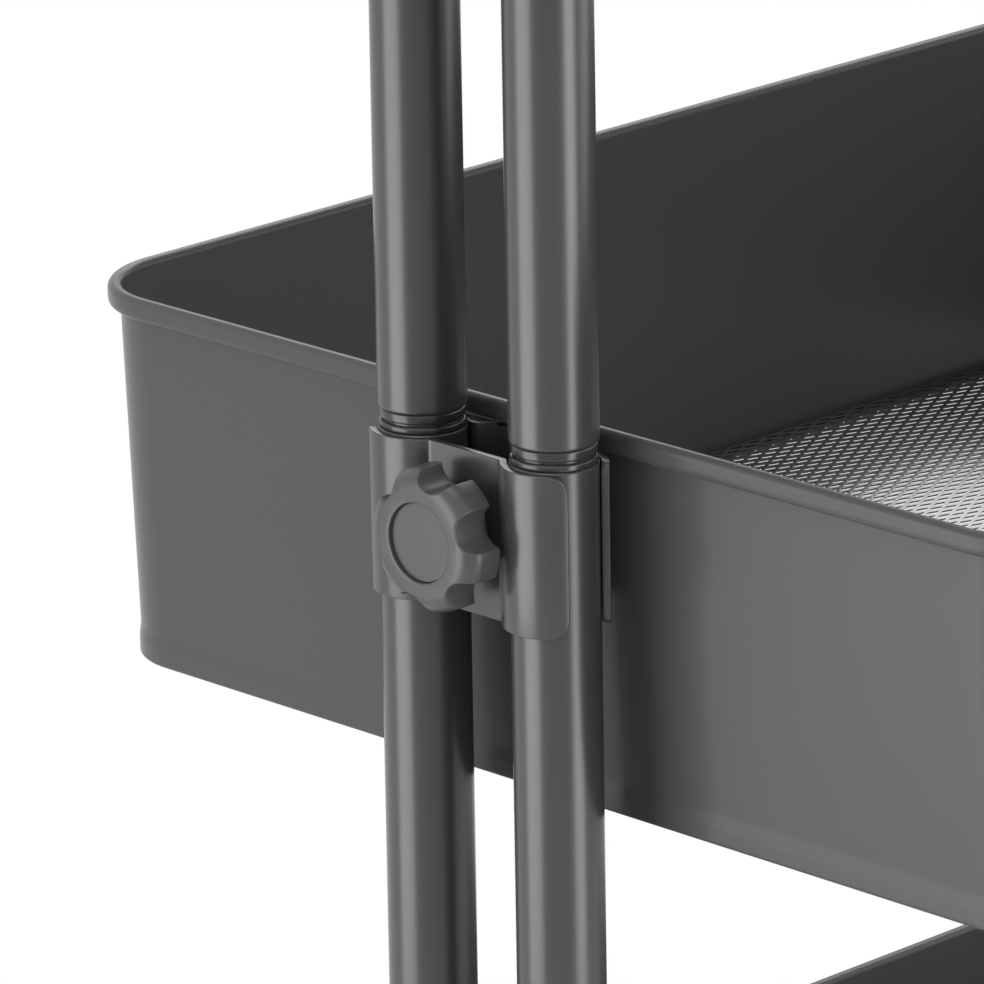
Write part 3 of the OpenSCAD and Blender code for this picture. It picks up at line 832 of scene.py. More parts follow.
@dataclass(frozen=True)
class TyreRubber(Finish):
    """Dull rubber with dust in its pores."""

    pore: float = 0.35
    pore_depth: float = 0.012
    dust: float = 6.0

    def pattern(self, graph: Graph, where: Signal) -> tuple[Signal, Signal, Signal]:
        """Colour, roughness and relief of the rubber.

        Args:
            graph: The material's graph.
            where: Object coordinates in millimetres.

        Returns:
            Colour, roughness and normal.
        """
        dust = graph.noise(where, self.dust, 5.0, 0.65)
        pores = graph.noise(where, self.pore)
        colour = graph.blend(dust.ramp(0.45, 0.75), self.shade(), self.shade(1.5))
        roughness = self.roughness - 0.05 + 0.12 * dust
        normal = graph.bump(pores, self.pore_depth * MM)
        return colour, roughness, normal


WALL_COAT = PowderCoat("wall_coat", Slot.POWDER_COAT, 68, roughness=0.27, specular=0.19)
TUBE_COAT = PowderCoat("tube_coat", Slot.POWDER_COAT, 48, roughness=0.28, specular=0.6)
CLAMP_COAT = PowderCoat(
    "clamp_coat", Slot.POWDER_COAT, 48, roughness=0.27, specular=0.6, nib_spacing=40.0,
)
MESH_COAT = PowderCoat(
    "mesh_coat", Slot.POWDER_COAT, 52, roughness=0.2, specular=1.0,
    peel_depth=0.0, nib_height=0.0, grain_depth=0.0004,
)
KNOB_PLASTIC = MouldedPlastic(
    "star_knob_plastic", Slot.KNOB_PLASTIC, 61, tint=(1.0, 0.99, 1.01),
    roughness=0.32, specular=0.4, grain_depth=0.003,
)
BLACK_PLASTIC = MouldedPlastic(
    "caster_plastic", Slot.BLACK_PLASTIC, 42, roughness=0.36, grain_depth=0.003,
)
RING_PLASTIC = MouldedPlastic(
    "ring_plastic", Slot.BLACK_PLASTIC, 40, roughness=0.22, grain_depth=0.001,
)
PLATED_STEEL = PlatedSteel(
    "zinc_plated_steel", Slot.PLATED_STEEL, 188, roughness=0.24, metallic=1.0,
)
TYRE_RUBBER = TyreRubber("wheel_rubber", Slot.TYRE_RUBBER, 74, roughness=0.68)


def fit_piece(
    bm: BMesh, name: str, finish: Finish, *nodes: str, crease: float = CREASE,
) -> None:
    """Makes a visible piece with its finish, which stands for CAD nodes of one body.

    Args:
        bm: Mesh of the piece, which is freed.
        name: Name of the piece.
        finish: Its finish.
        nodes: The nodes that it replaces.
        crease: Angle in degrees from which an edge stays sharp.
    """
    piece = finish_mesh(bm, name, crease)
    piece.data.materials.append(finish.material())
    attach(piece, frame["nodes"][nodes[0]]["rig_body"])
    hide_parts(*nodes)
    LOG.info("%s: %d faces", piece.name, len(piece.data.polygons))


@dataclass
class Basket:
    """Drawn sheet-steel basket: leaning wall with a rolled rim, a bottom bead and an inward lip."""

    tier: Tier
    length: float = 400 * MM
    width: float = 339 * MM
    depth: float = 100 * MM
    corner_r: float = 29 * MM
    wall_t: float = 0.8 * MM
    lean: float = 3.3 * MM
    rim_proud: float = 3 * MM
    rim_h: float = 6 * MM
    bead_h: float = 4.5 * MM
    bead_proud: float = 0.7 * MM
    bead_runout: float = 5.4 * MM
    runout_steps: int = 10
    rim_tuck: float = 0.25 * MM
    lip_w: float = 6 * MM
    corner_steps: int = 20

    def section(self, bm: BMesh) -> None:
        """Draws the wall's section, with X outwards from the corner's centre and Z up from the rim.

        Args:
            bm: The mesh that takes the wire.
        """
        face = self.corner_r - self.rim_proud
        foot = face - self.lean
        roll = (self.rim_proud + self.wall_t) / 2
        bead = (self.wall_t + self.bead_proud) / 2
        slope = self.lean / self.depth
        bottom = -self.depth
        pen = Outline(bm, foot - self.wall_t - self.lip_w, bottom)
        pen.to(foot + self.bead_proud - bead, bottom, KEEP_FLAT)
        pen.arc(foot + self.bead_proud - bead, bottom + bead, 90, 5)
        pen.to(foot + self.bead_proud, bottom + self.bead_h - bead, KEEP_FLAT)
        start = bottom + self.bead_h - bead
        for step in range(1, self.runout_steps + 1):
            share = step / self.runout_steps
            fade = self.bead_proud * (1 + math.cos(math.pi * share)) / 2
            height = start + self.bead_runout * share
            pen.to(foot + slope * (height - bottom) * share + fade, height)
        under = -self.rim_h + self.rim_tuck
        pen.to(face + slope * under, under, KEEP_FLAT)
        pen.to(face + self.rim_tuck, -self.rim_h + 0.1 * MM)
        pen.arc(face + self.rim_proud - roll, -self.rim_h + roll, 85, 6)
        pen.to(face + self.rim_proud, max(pen.last.co.z, -self.rim_h + roll))
        pen.to(face + self.rim_proud, -roll, KEEP_FLAT)
        pen.arc(face + self.rim_proud - roll, -roll, 180, 12)
        pen.to(foot - self.wall_t, bottom + self.wall_t, KEEP_FLAT)
        pen.to(foot - self.wall_t - self.lip_w, bottom + self.wall_t, KEEP_FLAT)
        pen.close()

    def build(self) -> None:
        """Carries the section round the basket."""
        bm = bmesh.new()
        self.section(bm)
        along = self.length / 2 - self.corner_r
        across = self.width / 2 - self.corner_r
        bmesh.ops.translate(bm, verts=bm.verts[:], vec=(along, -across, self.tier.value))
        skin = Skin(bm, bm.edges)
        centres = [(along, across), (-along, across), (-along, -across), (along, -across)]
        runs = [(0, 2 * across), (-2 * along, 0), (0, -2 * across), (2 * along, 0)]
        for (x, y), (dx, dy) in zip(centres, runs, strict=True):
            skin.push((dx, dy, 0.0), 1.5 * MM)
            skin.swing((x, y, 0.0), (0.0, 0.0, 1.0), 90, self.corner_steps)
        tidy(bm, MERGE)
        word = self.tier.word
        fit_piece(bm, f"{word}_basket_shell", WALL_COAT, f"{word}_basket", crease=40.0)


@dataclass
class ExpandedFloor:
    """Floor of expanded metal: slit sheet drawn out into diamonds, whose strands stand aslant."""

    tier: Tier
    length: float = 384.8 * MM
    width: float = 323.8 * MM
    corner_r: float = 21.6 * MM
    corner_cuts: int = 3
    above_base: float = 0.8 * MM
    depth: float = 100 * MM
    pitch_l: float = 7.15 * MM
    pitch_w: float = 4.0 * MM
    strand_w: float = 0.85 * MM
    thickness: float = 0.45 * MM
    slant: float = 0.25 * MM

    def cell(self, bm: BMesh) -> None:
        """Makes the two strands above one opening and the knuckle beside it.

        Args:
            bm: The mesh that takes them.
        """
        half_l, half_w = self.pitch_l / 2, self.pitch_w / 2
        reach = 1 - self.strand_w * math.hypot(half_l, half_w) / (2 * half_l * half_w)
        tip_l, tip_w = half_l * reach, half_w * reach
        top = bm.verts.new((0.0, tip_w, -self.slant))
        for side in (-1.0, 1.0):
            corners = [
                bm.verts.new((side * tip_l, 0.0, 0.0)),
                bm.verts.new((side * half_l, half_w - tip_w, self.slant)),
                bm.verts.new((side * (half_l - tip_l), half_w, 0.0)),
            ]
            bm.faces.new([top, *corners][:: int(side)])
        gap = half_w - tip_w
        spots = [
            (tip_l, 0.0, 0.0), (half_l, -gap, -self.slant),
            (2 * half_l - tip_l, 0.0, 0.0), (half_l, gap, self.slant),
        ]
        bm.faces.new([bm.verts.new(spot) for spot in spots])

    def build(self) -> None:
        """Repeats the cell, trims it to the floor and gives it its thickness."""
        bm = bmesh.new()
        self.cell(bm)
        count_l = math.ceil(self.length / self.pitch_l) + 1
        count_w = math.ceil(self.width / self.pitch_w) + 1
        rows = [
            (self.pitch_l / 2, self.pitch_w / 2, 2),
            (self.pitch_l, 0.0, count_l),
            (0.0, self.pitch_w, count_w),
        ]
        for dx, dy, count in rows:
            copies(bm, [shift(i * dx, i * dy) for i in range(count)])
        bmesh.ops.remove_doubles(bm, verts=bm.verts[:], dist=MERGE)
        height = self.tier.value - self.depth + self.above_base + self.slant + self.thickness
        move = (-count_l * self.pitch_l / 2, -count_w * self.pitch_w / 2, height)
        bmesh.ops.translate(bm, verts=bm.verts[:], vec=move)
        self.trim(bm)
        bmesh.ops.reverse_faces(bm, faces=[f for f in bm.faces if f.normal.z < 0])
        bmesh.ops.solidify(bm, geom=bm.faces[:], thickness=self.thickness)
        word = self.tier.word
        fit_piece(bm, f"{word}_expanded_floor", MESH_COAT, f"{word}_floor_mesh", crease=30.0)

    def trim(self, bm: BMesh) -> None:
        """Cuts the sheet to the floor's rounded rectangle.

        Args:
            bm: The mesh.
        """
        half_l, half_w = self.length / 2, self.width / 2
        for side in (-1, 1):
            cut(bm, (side * half_l, 0.0, 0.0), (side, 0.0, 0.0))
            cut(bm, (0.0, side * half_w, 0.0), (0.0, side, 0.0))
        for sx in (-1, 1):
            for sy in (-1, 1):
                centre = Vector((sx * (half_l - self.corner_r), sy * (half_w - self.corner_r), 0.0))
                for i in range(1, self.corner_cuts + 1):
                    u, v = polar(1.0, math.pi / 2 * i / (self.corner_cuts + 1))
                    out = Vector((sx * u, sy * v, 0.0))
                    cut(bm, centre + self.corner_r * out, out)


@dataclass
class LowerUpright:
    """Lower tube: from its caster up, in along the leg and up to the joint."""

    end: End
    face: Face
    foot_z: float = 71 * MM
    foot_run: float = 8 * MM
    foot_bend_r: float = 30 * MM
    bend_r: float = 40 * MM
    top_z: float = 465.1 * MM
    edge_r: float = 0.35 * MM

    def build(self) -> None:
        """Draws the tube along its path."""
        lay = LAYOUT
        tube = Turned(lay.tube_r - lay.tube_t, self.foot_z)
        tube.to(lay.tube_r - self.edge_r, self.foot_z)
        tube.round(self.edge_r, self.edge_r, True, 3)
        bm, skin = tube.bm, tube.skin
        level = self.foot_z + self.foot_run
        skin.push((0.0, 0.0, self.foot_run - self.edge_r), KEEP_FLAT)
        r1, r2 = self.foot_bend_r, self.bend_r
        run = lay.caster_spread / 2 - lay.tube_y - r1 - r2
        skin.swing((0.0, -r1, level), (1.0, 0.0, 0.0), 90, 14)
        skin.push((0.0, -run, 0.0), KEEP_FLAT)
        skin.swing((0.0, -r1 - run, level + r1 + r2), (-1.0, 0.0, 0.0), 90, 18)
        skin.push((0.0, 0.0, self.top_z - self.edge_r - level - r1 - r2), KEEP_FLAT)
        self.close_top(bm, skin, (0.0, -r1 - run - r2, self.top_z))
        tidy(bm)
        across = lay.caster_spread / 2
        mirror = Matrix.Scale(self.end.value * self.face.value, 4, (0.0, 1.0, 0.0))
        copies(bm, [lay.at_end(self.end) @ mirror @ shift(0.0, across)])
        bmesh.ops.recalc_face_normals(bm, faces=bm.faces[:])
        word = f"{self.end.word}_{self.face.word}"
        fit_piece(bm, f"lower_tube_{word}", TUBE_COAT, f"lower_upright_{word}")

    def close_top(self, bm: BMesh, skin: Skin, middle: Sequence[float]) -> None:
        """Closes the tube's top with a small round edge.

        Args:
            bm: The mesh.
            skin: The tube's skin.
            middle: Centre of the top.
        """
        share = 1 - self.edge_r / LAYOUT.tube_r
        skin.step()
        centre = shift(*-Vector(middle))
        bmesh.ops.scale(bm, verts=skin.verts, vec=(share, share, 1.0), space=centre)
        bmesh.ops.translate(bm, verts=skin.verts, vec=(0.0, 0.0, self.edge_r))
        bmesh.ops.contextual_create(bm, geom=skin.verts + skin.edges)


@dataclass
class HandleFrame:
    """Upper tubes of one end and the flared handle above, bent from a single tube."""

    end: End
    ring_top_z: float = 470.2 * MM
    top_z: float = 860 * MM
    mouth_r: float = 0.8 * MM
    width: float = 170 * MM
    flare_r: float = 28 * MM
    corner_r: float = 30 * MM
    side: float = 22 * MM

    def build(self) -> None:
        """Draws one half of the frame and mirrors it."""
        lay = LAYOUT
        bore, z = lay.tube_r - lay.tube_t, self.ring_top_z
        tube = Turned(bore, z + 12 * MM)
        tube.to(bore, z + self.mouth_r)
        tube.round(lay.tube_t - self.mouth_r, -self.mouth_r, False, 3)
        tube.round(self.mouth_r, self.mouth_r, True, 5)
        bm, skin = tube.bm, tube.skin
        start = z + self.mouth_r
        rise = self.top_z - lay.tube_r - self.corner_r - self.side - 2 * self.flare_r - start
        flare_run = self.width / 2 - lay.tube_y - 2 * self.flare_r
        skin.push((0.0, 0.0, rise), KEEP_FLAT)
        level = start + rise
        skin.swing((0.0, self.flare_r, level), (-1.0, 0.0, 0.0), 90, 14)
        skin.push((0.0, flare_run, 0.0), KEEP_FLAT)
        out = self.flare_r + flare_run
        skin.swing((0.0, out, level + 2 * self.flare_r), (1.0, 0.0, 0.0), 90, 14)
        out += self.flare_r
        level += 2 * self.flare_r
        skin.push((0.0, 0.0, self.side), KEEP_FLAT)
        level += self.side
        skin.swing((0.0, out - self.corner_r, level), (1.0, 0.0, 0.0), 90, 14)
        skin.push((0.0, -(self.width / 2 - self.corner_r), 0.0), KEEP_FLAT)
        bmesh.ops.translate(bm, verts=bm.verts[:], vec=(0.0, lay.tube_y, 0.0))
        place, mirror = lay.at_end(self.end), Matrix.Scale(-1, 4, (0.0, 1.0, 0.0))
        copies(bm, [place, place @ mirror])
        tidy(bm, MERGE)
        name = f"upper_tube_and_handle_{self.end.word}"
        fit_piece(bm, name, TUBE_COAT, f"handle_frame_{self.end.word}")


@dataclass
class JointCollars:
    """Collars between the lower and upper tubes of one end: two rings with a groove between."""

    end: End
    base_z: float = 465.1 * MM
    lower_h: float = 1.9 * MM
    groove_h: float = 0.6 * MM
    upper_h: float = 2.6 * MM
    lower_r: float = 10.8 * MM
    upper_r: float = 10.6 * MM
    groove_r: float = 9.8 * MM
    spigot_r: float = 9.75 * MM
    spigot_l: float = 25 * MM
    spigot_tip: float = 1 * MM
    edge_r: float = 0.6 * MM

    def build(self) -> None:
        """Turns one collar and copies it to the other tube."""
        z, edge = self.base_z, self.edge_r
        tip = self.spigot_tip
        ring = Turned(self.spigot_r - tip, z - self.spigot_l)
        ring.round(tip, tip, True, 3)
        ring.to(self.spigot_r, z)
        ring.to(self.lower_r - edge, z).round(edge, edge, True)
        ring.to(self.lower_r, z + self.lower_h - edge).round(-edge, edge, False)
        ring.to(self.groove_r, z + self.lower_h)
        step = z + self.lower_h + self.groove_h
        ring.to(self.groove_r, step)
        ring.to(self.upper_r - edge, step).round(edge, edge, True)
        top = step + self.upper_h
        ring.to(self.upper_r, top - edge).round(-edge, edge, False)
        ring.to(self.spigot_r, top).to(self.spigot_r, top + self.spigot_l - tip)
        ring.round(-tip, tip, False, 3).cap()
        bm = ring.bm
        tidy(bm)
        lay = LAYOUT
        copies(bm, [lay.at_end(self.end) @ shift(0.0, side * lay.tube_y) for side in (-1, 1)])
        word = self.end.word
        fit_piece(bm, f"collar_rings_{word}", RING_PLASTIC, f"joint_collars_{word}")


@dataclass(frozen=True)
class BentSheet:
    """Bent steel sheet with rounded corners, drawn as its middle line and stood upright."""

    height: float = 41 * MM
    thickness: float = 2 * MM
    corner_r: float = 4.5 * MM
    edge: float = 0.3 * MM
    edge_crease: float = 55.0
    corner_steps: int = 4

    def corner_turns(self, bend_r: float) -> list[float]:
        """Turns of the short strokes along a rounded corner, from the sheet's end inwards.

        Args:
            bend_r: Radius of the middle line there.

        Returns:
            The turns in degrees.
        """
        reach = [
            self.corner_r * (1 - math.cos(math.pi / 2 * i / self.corner_steps))
            for i in range(self.corner_steps + 1)
        ]
        return [math.degrees((b - a) / bend_r) for a, b in zip(reach, reach[1:])]

    def stand(
        self, pen: Outline, base_z: float, drop: Callable[[Vector], float] = lambda point: 0.0,
    ) -> BMesh:
        """Stands the sheet on its middle line.

        Args:
            pen: The middle line, drawn with Y to the right and X up.
            base_z: Height of the sheet's lower edge.
            drop: How much lower the upper edge is at a point of the middle line.

        Returns:
            The sheet, as a solid.
        """
        bm, row = pen.bm, pen.verts
        lay_down = Matrix(((0, 0, 1, 0), (1, 0, 0, 0), (0, 1, 0, base_z), (0, 0, 0, 1)))
        bmesh.ops.transform(bm, verts=row, matrix=lay_down)
        way = [0.0]
        for a, b in zip(row, row[1:]):
            way.append(way[-1] + (b.co - a.co).length)
        insets = [self.inset(min(s, way[-1] - s)) for s in way]
        Skin(bm, bm.edges).push((0.0, 0.0, self.height))
        twins = [
            next(v for v in (e.other_vert(vert) for e in vert.link_edges) if v.co.z > base_z)
            for vert in row
        ]
        for vert, twin, inset in zip(row, twins, insets, strict=True):
            twin.co.z -= inset + drop(vert.co)
            vert.co.z += inset
        bmesh.ops.recalc_face_normals(bm, faces=bm.faces[:])
        bm.normal_update()
        for vert in bm.verts:
            vert.co += self.thickness / 2 * vert.normal
        bmesh.ops.solidify(bm, geom=bm.faces[:], thickness=self.thickness)
        tidy(bm)
        soften(bm, self.edge, self.edge_crease, 3)
        return bm

    def inset(self, way: float) -> float:
        """How far a rounded corner takes the lower or upper edge in."""
        left = max(self.corner_r - way, 0.0)
        return self.corner_r - math.sqrt(self.corner_r**2 - left**2)


@dataclass
class FrontPlates:
    """Front plates of one tier: a channel round each tube and a flat valley between."""

    tier: Tier
    mid_r: float = 12.3 * MM
    valley_mid: float = 7.2 * MM
    bend_r: float = 2.3 * MM
    end_angle: float = 59.0
    sheet: BentSheet = BentSheet()

    def plate(self) -> BMesh:
        """Bends one plate, in an end's frame.

        Returns:
            The plate.
        """
        lay, y = LAYOUT, LAYOUT.tube_y
        turns = self.sheet.corner_turns(self.mid_r)
        reach, bend_x = self.mid_r + self.bend_r, self.valley_mid + self.bend_r
        meet = math.degrees(math.acos(bend_x / reach))
        bend_y = y - reach * math.sin(math.radians(meet))
        end = math.radians(self.end_angle)
        round_tube = self.end_angle + meet - sum(turns)
        pen = Outline(bmesh.new(), y + self.mid_r * math.sin(end), self.mid_r * math.cos(end))
        pen.arcs(y, 0.0, turns).arc(y, 0.0, round_tube, 24).arc(bend_y, bend_x, -meet, 7)
        pen.to(-bend_y, self.valley_mid, 0.8 * MM)
        pen.arc(-bend_y, bend_x, -meet, 7).arc(-y, 0.0, round_tube, 24)
        pen.arcs(-y, 0.0, reversed(turns))
        return self.sheet.stand(pen, self.tier.value - lay.plate_drop - lay.plate_h)

    def build(self) -> None:
        """Makes the plates: one piece, or one for each end where they come loose."""
        groups = {"plates": LAYOUT.at_ends()}
        if self.tier is Tier.MIDDLE:
            groups = {f"plate_{end.word}": [LAYOUT.at_end(end)] for end in End}
        for kind, places in groups.items():
            bm = self.plate()
            copies(bm, places)
            name = f"{self.tier.word}_clamp_{kind}"
            fit_piece(bm, name, CLAMP_COAT, f"{self.tier.word}_front_{kind}")


@dataclass
class BackPlates:
    """Back plates of one tier: a saddle behind each tube, a leg from each and a web on the wall."""

    tier: Tier
    mid_r: float = 12.3 * MM
    end_angle: float = 56.0
    web_x: float = 16.3 * MM
    web_half: float = 9 * MM
    leg_angle: float = 51.0
    bend_r: float = 1.7 * MM
    notch_x: float = 13.9 * MM
    notch_h: float = 1.3 * MM
    sheet: BentSheet = BentSheet(corner_r=3 * MM)

    def plate(self) -> BMesh:
        """Bends one plate, in an end's frame.

        Returns:
            The plate.
        """
        lay, y, r = LAYOUT, LAYOUT.tube_y, self.bend_r
        lean = math.radians(self.leg_angle)
        along = Vector((-math.cos(lean), -math.sin(lean)))
        left = Vector((-along.y, along.x))
        corner = Vector((self.web_half, -self.web_x))
        start = corner + r * left
        reach = self.mid_r + r
        meets = intersect_line_sphere_2d(start - lay.tube_y * along, start, (y, 0.0), reach, False)
        centre = min((m for m in meets if m), key=lambda m: (m - start).length)
        leave = math.atan2(centre.y, centre.x - y)
        heading = Vector((math.sin(leave), -math.cos(leave)))
        fold = math.degrees(math.acos(heading.dot(along)))
        web_bend = Vector((self.web_half - r * math.tan(lean / 2), r - self.web_x))
        leg_foot = corner - r * math.tan(lean / 2) * along
        leg_top = centre - r * left
        notch = [
            leg_top + along * (leg_top.y + self.notch_x + step) / -along.y
            for step in (-0.15 * MM, 0.0)
        ]
        turns = [-degrees for degrees in self.sheet.corner_turns(self.mid_r)]
        round_tube = math.degrees(leave) + 90.0 - self.end_angle - sum(turns)
        end = math.radians(self.end_angle)
        pen = Outline(bmesh.new(), y + self.mid_r * math.sin(end), -self.mid_r * math.cos(end))
        pen.arcs(y, 0.0, turns).arc(y, 0.0, round_tube, 20).arc(*centre, fold, 7)
        for u, v in (*notch, leg_foot):
            pen.to(u, v)
        pen.arc(*web_bend, -self.leg_angle, 5).to(-web_bend.x, -self.web_x, 0.8 * MM)
        pen.arc(-web_bend.x, web_bend.y, -self.leg_angle, 5)
        for u, v in (*reversed(notch), leg_top):
            pen.to(-u, v)
        pen.arc(-centre.x, centre.y, fold, 7).arc(-y, 0.0, round_tube, 20)
        pen.arcs(-y, 0.0, reversed(turns))
        base, edge = self.tier.value - lay.plate_drop - lay.plate_h, 0.07 * MM - self.notch_x
        return self.sheet.stand(pen, base, lambda point: self.notch_h if point.x < edge else 0.0)

    def build(self) -> None:
        """Makes the plates of both ends."""
        bm = self.plate()
        copies(bm, LAYOUT.at_ends())
        word = self.tier.word
        fit_piece(bm, f"{word}_saddle_plates", CLAMP_COAT, f"{word}_back_plates")


class Rings:
    """A face that is drawn on ring by ring, in which each column keeps its place."""

    def __init__(self, pen: Outline) -> None:
        """Starts with the face inside a closed outline, laid level.

        Args:
            pen: The outline, which runs counter-clockwise.
        """
        self.bm = pen.bm
        bmesh.ops.transform(self.bm, verts=pen.verts, matrix=turn(-90, "X"))
        self.face = bmesh.ops.contextual_create(self.bm, geom=self.bm.edges[:])["faces"][0]
        self.face.normal_update()
        if self.face.normal.z < 0:
            self.face.normal_flip()
        self.keep = self.face

    @property
    def points(self) -> list[Vector]:
        """Places of the last ring's vertices."""
        return [v.co.copy() for v in self.face.verts]

    def ring(self, points: Iterable[Vector]) -> "Rings":
        """Draws the next ring.

        Args:
            points: Places of its vertices.

        Returns:
            The rings themselves.
        """
        last = self.face
        made = bmesh.ops.extrude_face_region(self.bm, geom=[last])["geom"]
        self.face = only(BMFace, made)[0]
        if last.is_valid and last is not self.keep:
            bmesh.ops.delete(self.bm, geom=[last], context="FACES_ONLY")
        for vert, point in zip(self.face.verts, points, strict=True):
            vert.co = point
        return self

    def circle(self, radius: float, z: float) -> "Rings":
        """Draws the next ring as a circle, each column at its own angle."""
        flat = [Vector((p.x, p.y, 0.0)).normalized() for p in self.points]
        return self.ring([radius * f + Vector((0.0, 0.0, z)) for f in flat])

    def turn_over(self) -> "Rings":
        """Goes on from the face at the other end of the piece."""
        self.face, self.keep = self.keep, None
        return self


def outward(points: Sequence[Vector]) -> list[Vector]:
    """Level outward normals of a closed ring.

    Args:
        points: The ring, counter-clockwise.

    Returns:
        The normals.
    """
    strokes = [(b - a).normalized() for a, b in zip(points, [*points[1:], points[0]])]
    along = [a + b for a, b in zip([strokes[-1], *strokes], strokes)]
    return [Vector((t.y, -t.x, 0.0)).normalized() for t in along]


@dataclass
class StarKnob:
    """Star knob with six finger notches, a domed shoulder and a sunk front for its cap."""

    end: End
    seat: float = 8.3 * MM
    hub_l: float = 5.75 * MM
    hub_r: float = 8.5 * MM
    height: float = 10.2 * MM
    outer_r: float = 18 * MM
    face_r: float = 13 * MM
    shoulder: float = 4.4 * MM
    notch_count: int = 6
    notch_r: float = 5.6 * MM
    notch_depth: float = 4.3 * MM
    notch_turn: float = 18.0
    fillet: float = 0.6 * MM
    edge: float = 0.35 * MM
    recess_r: float = 10 * MM
    recess: float = 1 * MM
    recess_edge: float = 0.3 * MM
    cap_t: float = 1.6 * MM

    def outline(self) -> Outline:
        """Draws the star, notch by notch.

        Returns:
            The closed outline.
        """
        middle = self.outer_r - self.notch_depth + self.notch_r
        inner, outer = self.outer_r - self.fillet, self.notch_r + self.fillet
        half_gap = math.acos((inner**2 + middle**2 - outer**2) / (2 * inner * middle))
        half_notch = math.acos((outer**2 + middle**2 - inner**2) / (2 * outer * middle))
        step = math.tau / self.notch_count
        lobe = step - 2 * half_gap
        bend = (step - lobe + 2 * half_notch) / 2
        first = math.radians(90 + self.notch_turn) + half_gap
        pen = Outline(bmesh.new(), *polar(self.outer_r, first))
        for i in range(self.notch_count):
            start = first + i * step
            stop = start + lobe
            notch = stop + half_gap
            pen.arc(0.0, 0.0, math.degrees(lobe), 6)
            pen.arc(*polar(inner, stop), math.degrees(bend), 5)
            pen.arc(*polar(middle, notch), -math.degrees(2 * half_notch), 16)
            pen.arc(*polar(inner, stop + 2 * half_gap), math.degrees(bend), 5)
        tidy_wire(pen)
        return pen

    @property
    def ball(self) -> float:
        """Radius of the shoulder's round."""
        return ((self.outer_r - self.face_r) ** 2 + self.shoulder**2) / (2 * self.shoulder)

    def dome(self, radius: float) -> float:
        """How far the turned shoulder lies below the front."""
        return self.ball - math.sqrt(self.ball**2 - max(radius - self.face_r, 0.0) ** 2)

    def inset(
        self, points: Sequence[Vector], distance: float, place: Callable[[float], float],
    ) -> list[Vector]:
        """Places of a ring inside the star."""
        level = [p - distance * n for p, n in zip(points, outward(points))]
        return [Vector((p.x, p.y, place(math.hypot(p.x, p.y)))) for p in level]

    def body(self) -> BMesh:
        """Draws the knob from its star outline, with Z outwards from its seat.

        Returns:
            The knob's body.
        """
        rings = Rings(self.outline())
        star = rings.points
        front, back = self.hub_l + self.height, self.hub_l
        base = back + self.edge
        for vert in rings.face.verts:
            vert.co.z = base
        for depth, sink in quarter(self.edge, 3):
            rings.ring(self.inset(
                star, depth, lambda r, s=sink: front - self.dome(min(r, self.outer_r)) - s,
            ))
        edge_ring = rings.points
        steps = 8
        widest = math.asin((self.outer_r - self.edge - self.face_r) / self.ball)
        first = math.atan2(edge_ring[0].y, edge_ring[0].x)
        count = len(edge_ring)
        start = Vector((*polar(self.face_r, first), 0.0))
        even = [turn(360 * i / count, "Z") @ start for i in range(count)]
        for i in range(1, steps + 1):
            share = 1 - math.sin(widest * (1 - i / steps)) / math.sin(widest)
            level = [
                (1 - share) * Vector((p.x, p.y, 0.0)) + share * e for p, e in zip(edge_ring, even)
            ]
            rings.ring([Vector((p.x, p.y, front - self.dome(p.length))) for p in level])
        rings.circle(self.recess_r + 4 * self.recess_edge, front)
        for sink, out in quarter(self.recess_edge, 3):
            rings.circle(self.recess_r + out, front - sink)
        rings.circle(self.recess_r, front - self.recess - self.cap_t)
        rings.turn_over()
        for depth, rise in quarter(self.edge, 3)[1:]:
            rings.ring(reversed_ring(rings, self.inset(star, depth, lambda r, h=rise: back + h)))
        rings.circle(self.hub_r + 0.8 * MM, back).circle(self.hub_r, back - 0.3 * MM)
        rings.circle(self.hub_r, self.edge).circle(self.hub_r - self.edge, 0.0)
        return rings.bm

    def build(self) -> None:
        """Makes the knob and its cap."""
        lay = LAYOUT
        place = lay.at_end(self.end) @ along_x(self.seat, Tier.MIDDLE.value - lay.bolt_drop)
        word = self.end.word
        bm = self.body()
        tidy(bm)
        copies(bm, [place])
        fit_piece(bm, f"star_knob_{word}", KNOB_PLASTIC, f"knob_{word}", crease=35.0)
        front = self.hub_l + self.height - self.recess
        radius = self.recess_r - 0.06 * MM
        cap = Turned(radius - 0.2 * MM, front - self.cap_t + 0.05 * MM)
        cap.to(radius, front - self.cap_t + 0.25 * MM).to(radius, front - 0.3 * MM, KEEP_FLAT_LEAST)
        cap.round(-0.3 * MM, 0.3 * MM, False, 4)
        cap.to(radius - 1.2 * MM, front).to(1 * MM, front).cap()
        tidy(cap.bm)
        copies(cap.bm, [place])
        fit_piece(cap.bm, f"star_knob_cap_{word}", KNOB_PLASTIC, f"knob_cap_{word}")


def tidy_wire(pen: Outline) -> None:
    """Merges the last point of an outline with its first."""
    bmesh.ops.remove_doubles(pen.bm, verts=pen.bm.verts[:], dist=MERGE)
    pen.verts = [v for v in pen.verts if v.is_valid]


def reversed_ring(rings: Rings, points: Sequence[Vector]) -> list[Vector]:
    """Orders places like the ring that they are nearest to."""
    return [min(points, key=lambda p, q=here: (p.xy - q.xy).length) for here in rings.points]


def head(radius: float, height: float, edge: float = 0.25 * MM) -> Turned:
    """Low domed head that stands on its foot."""
    foot = Turned(radius - edge, 0.0, 48).to(radius, edge)
    return foot.to(radius, 2 * edge).dome(height - 2 * edge)


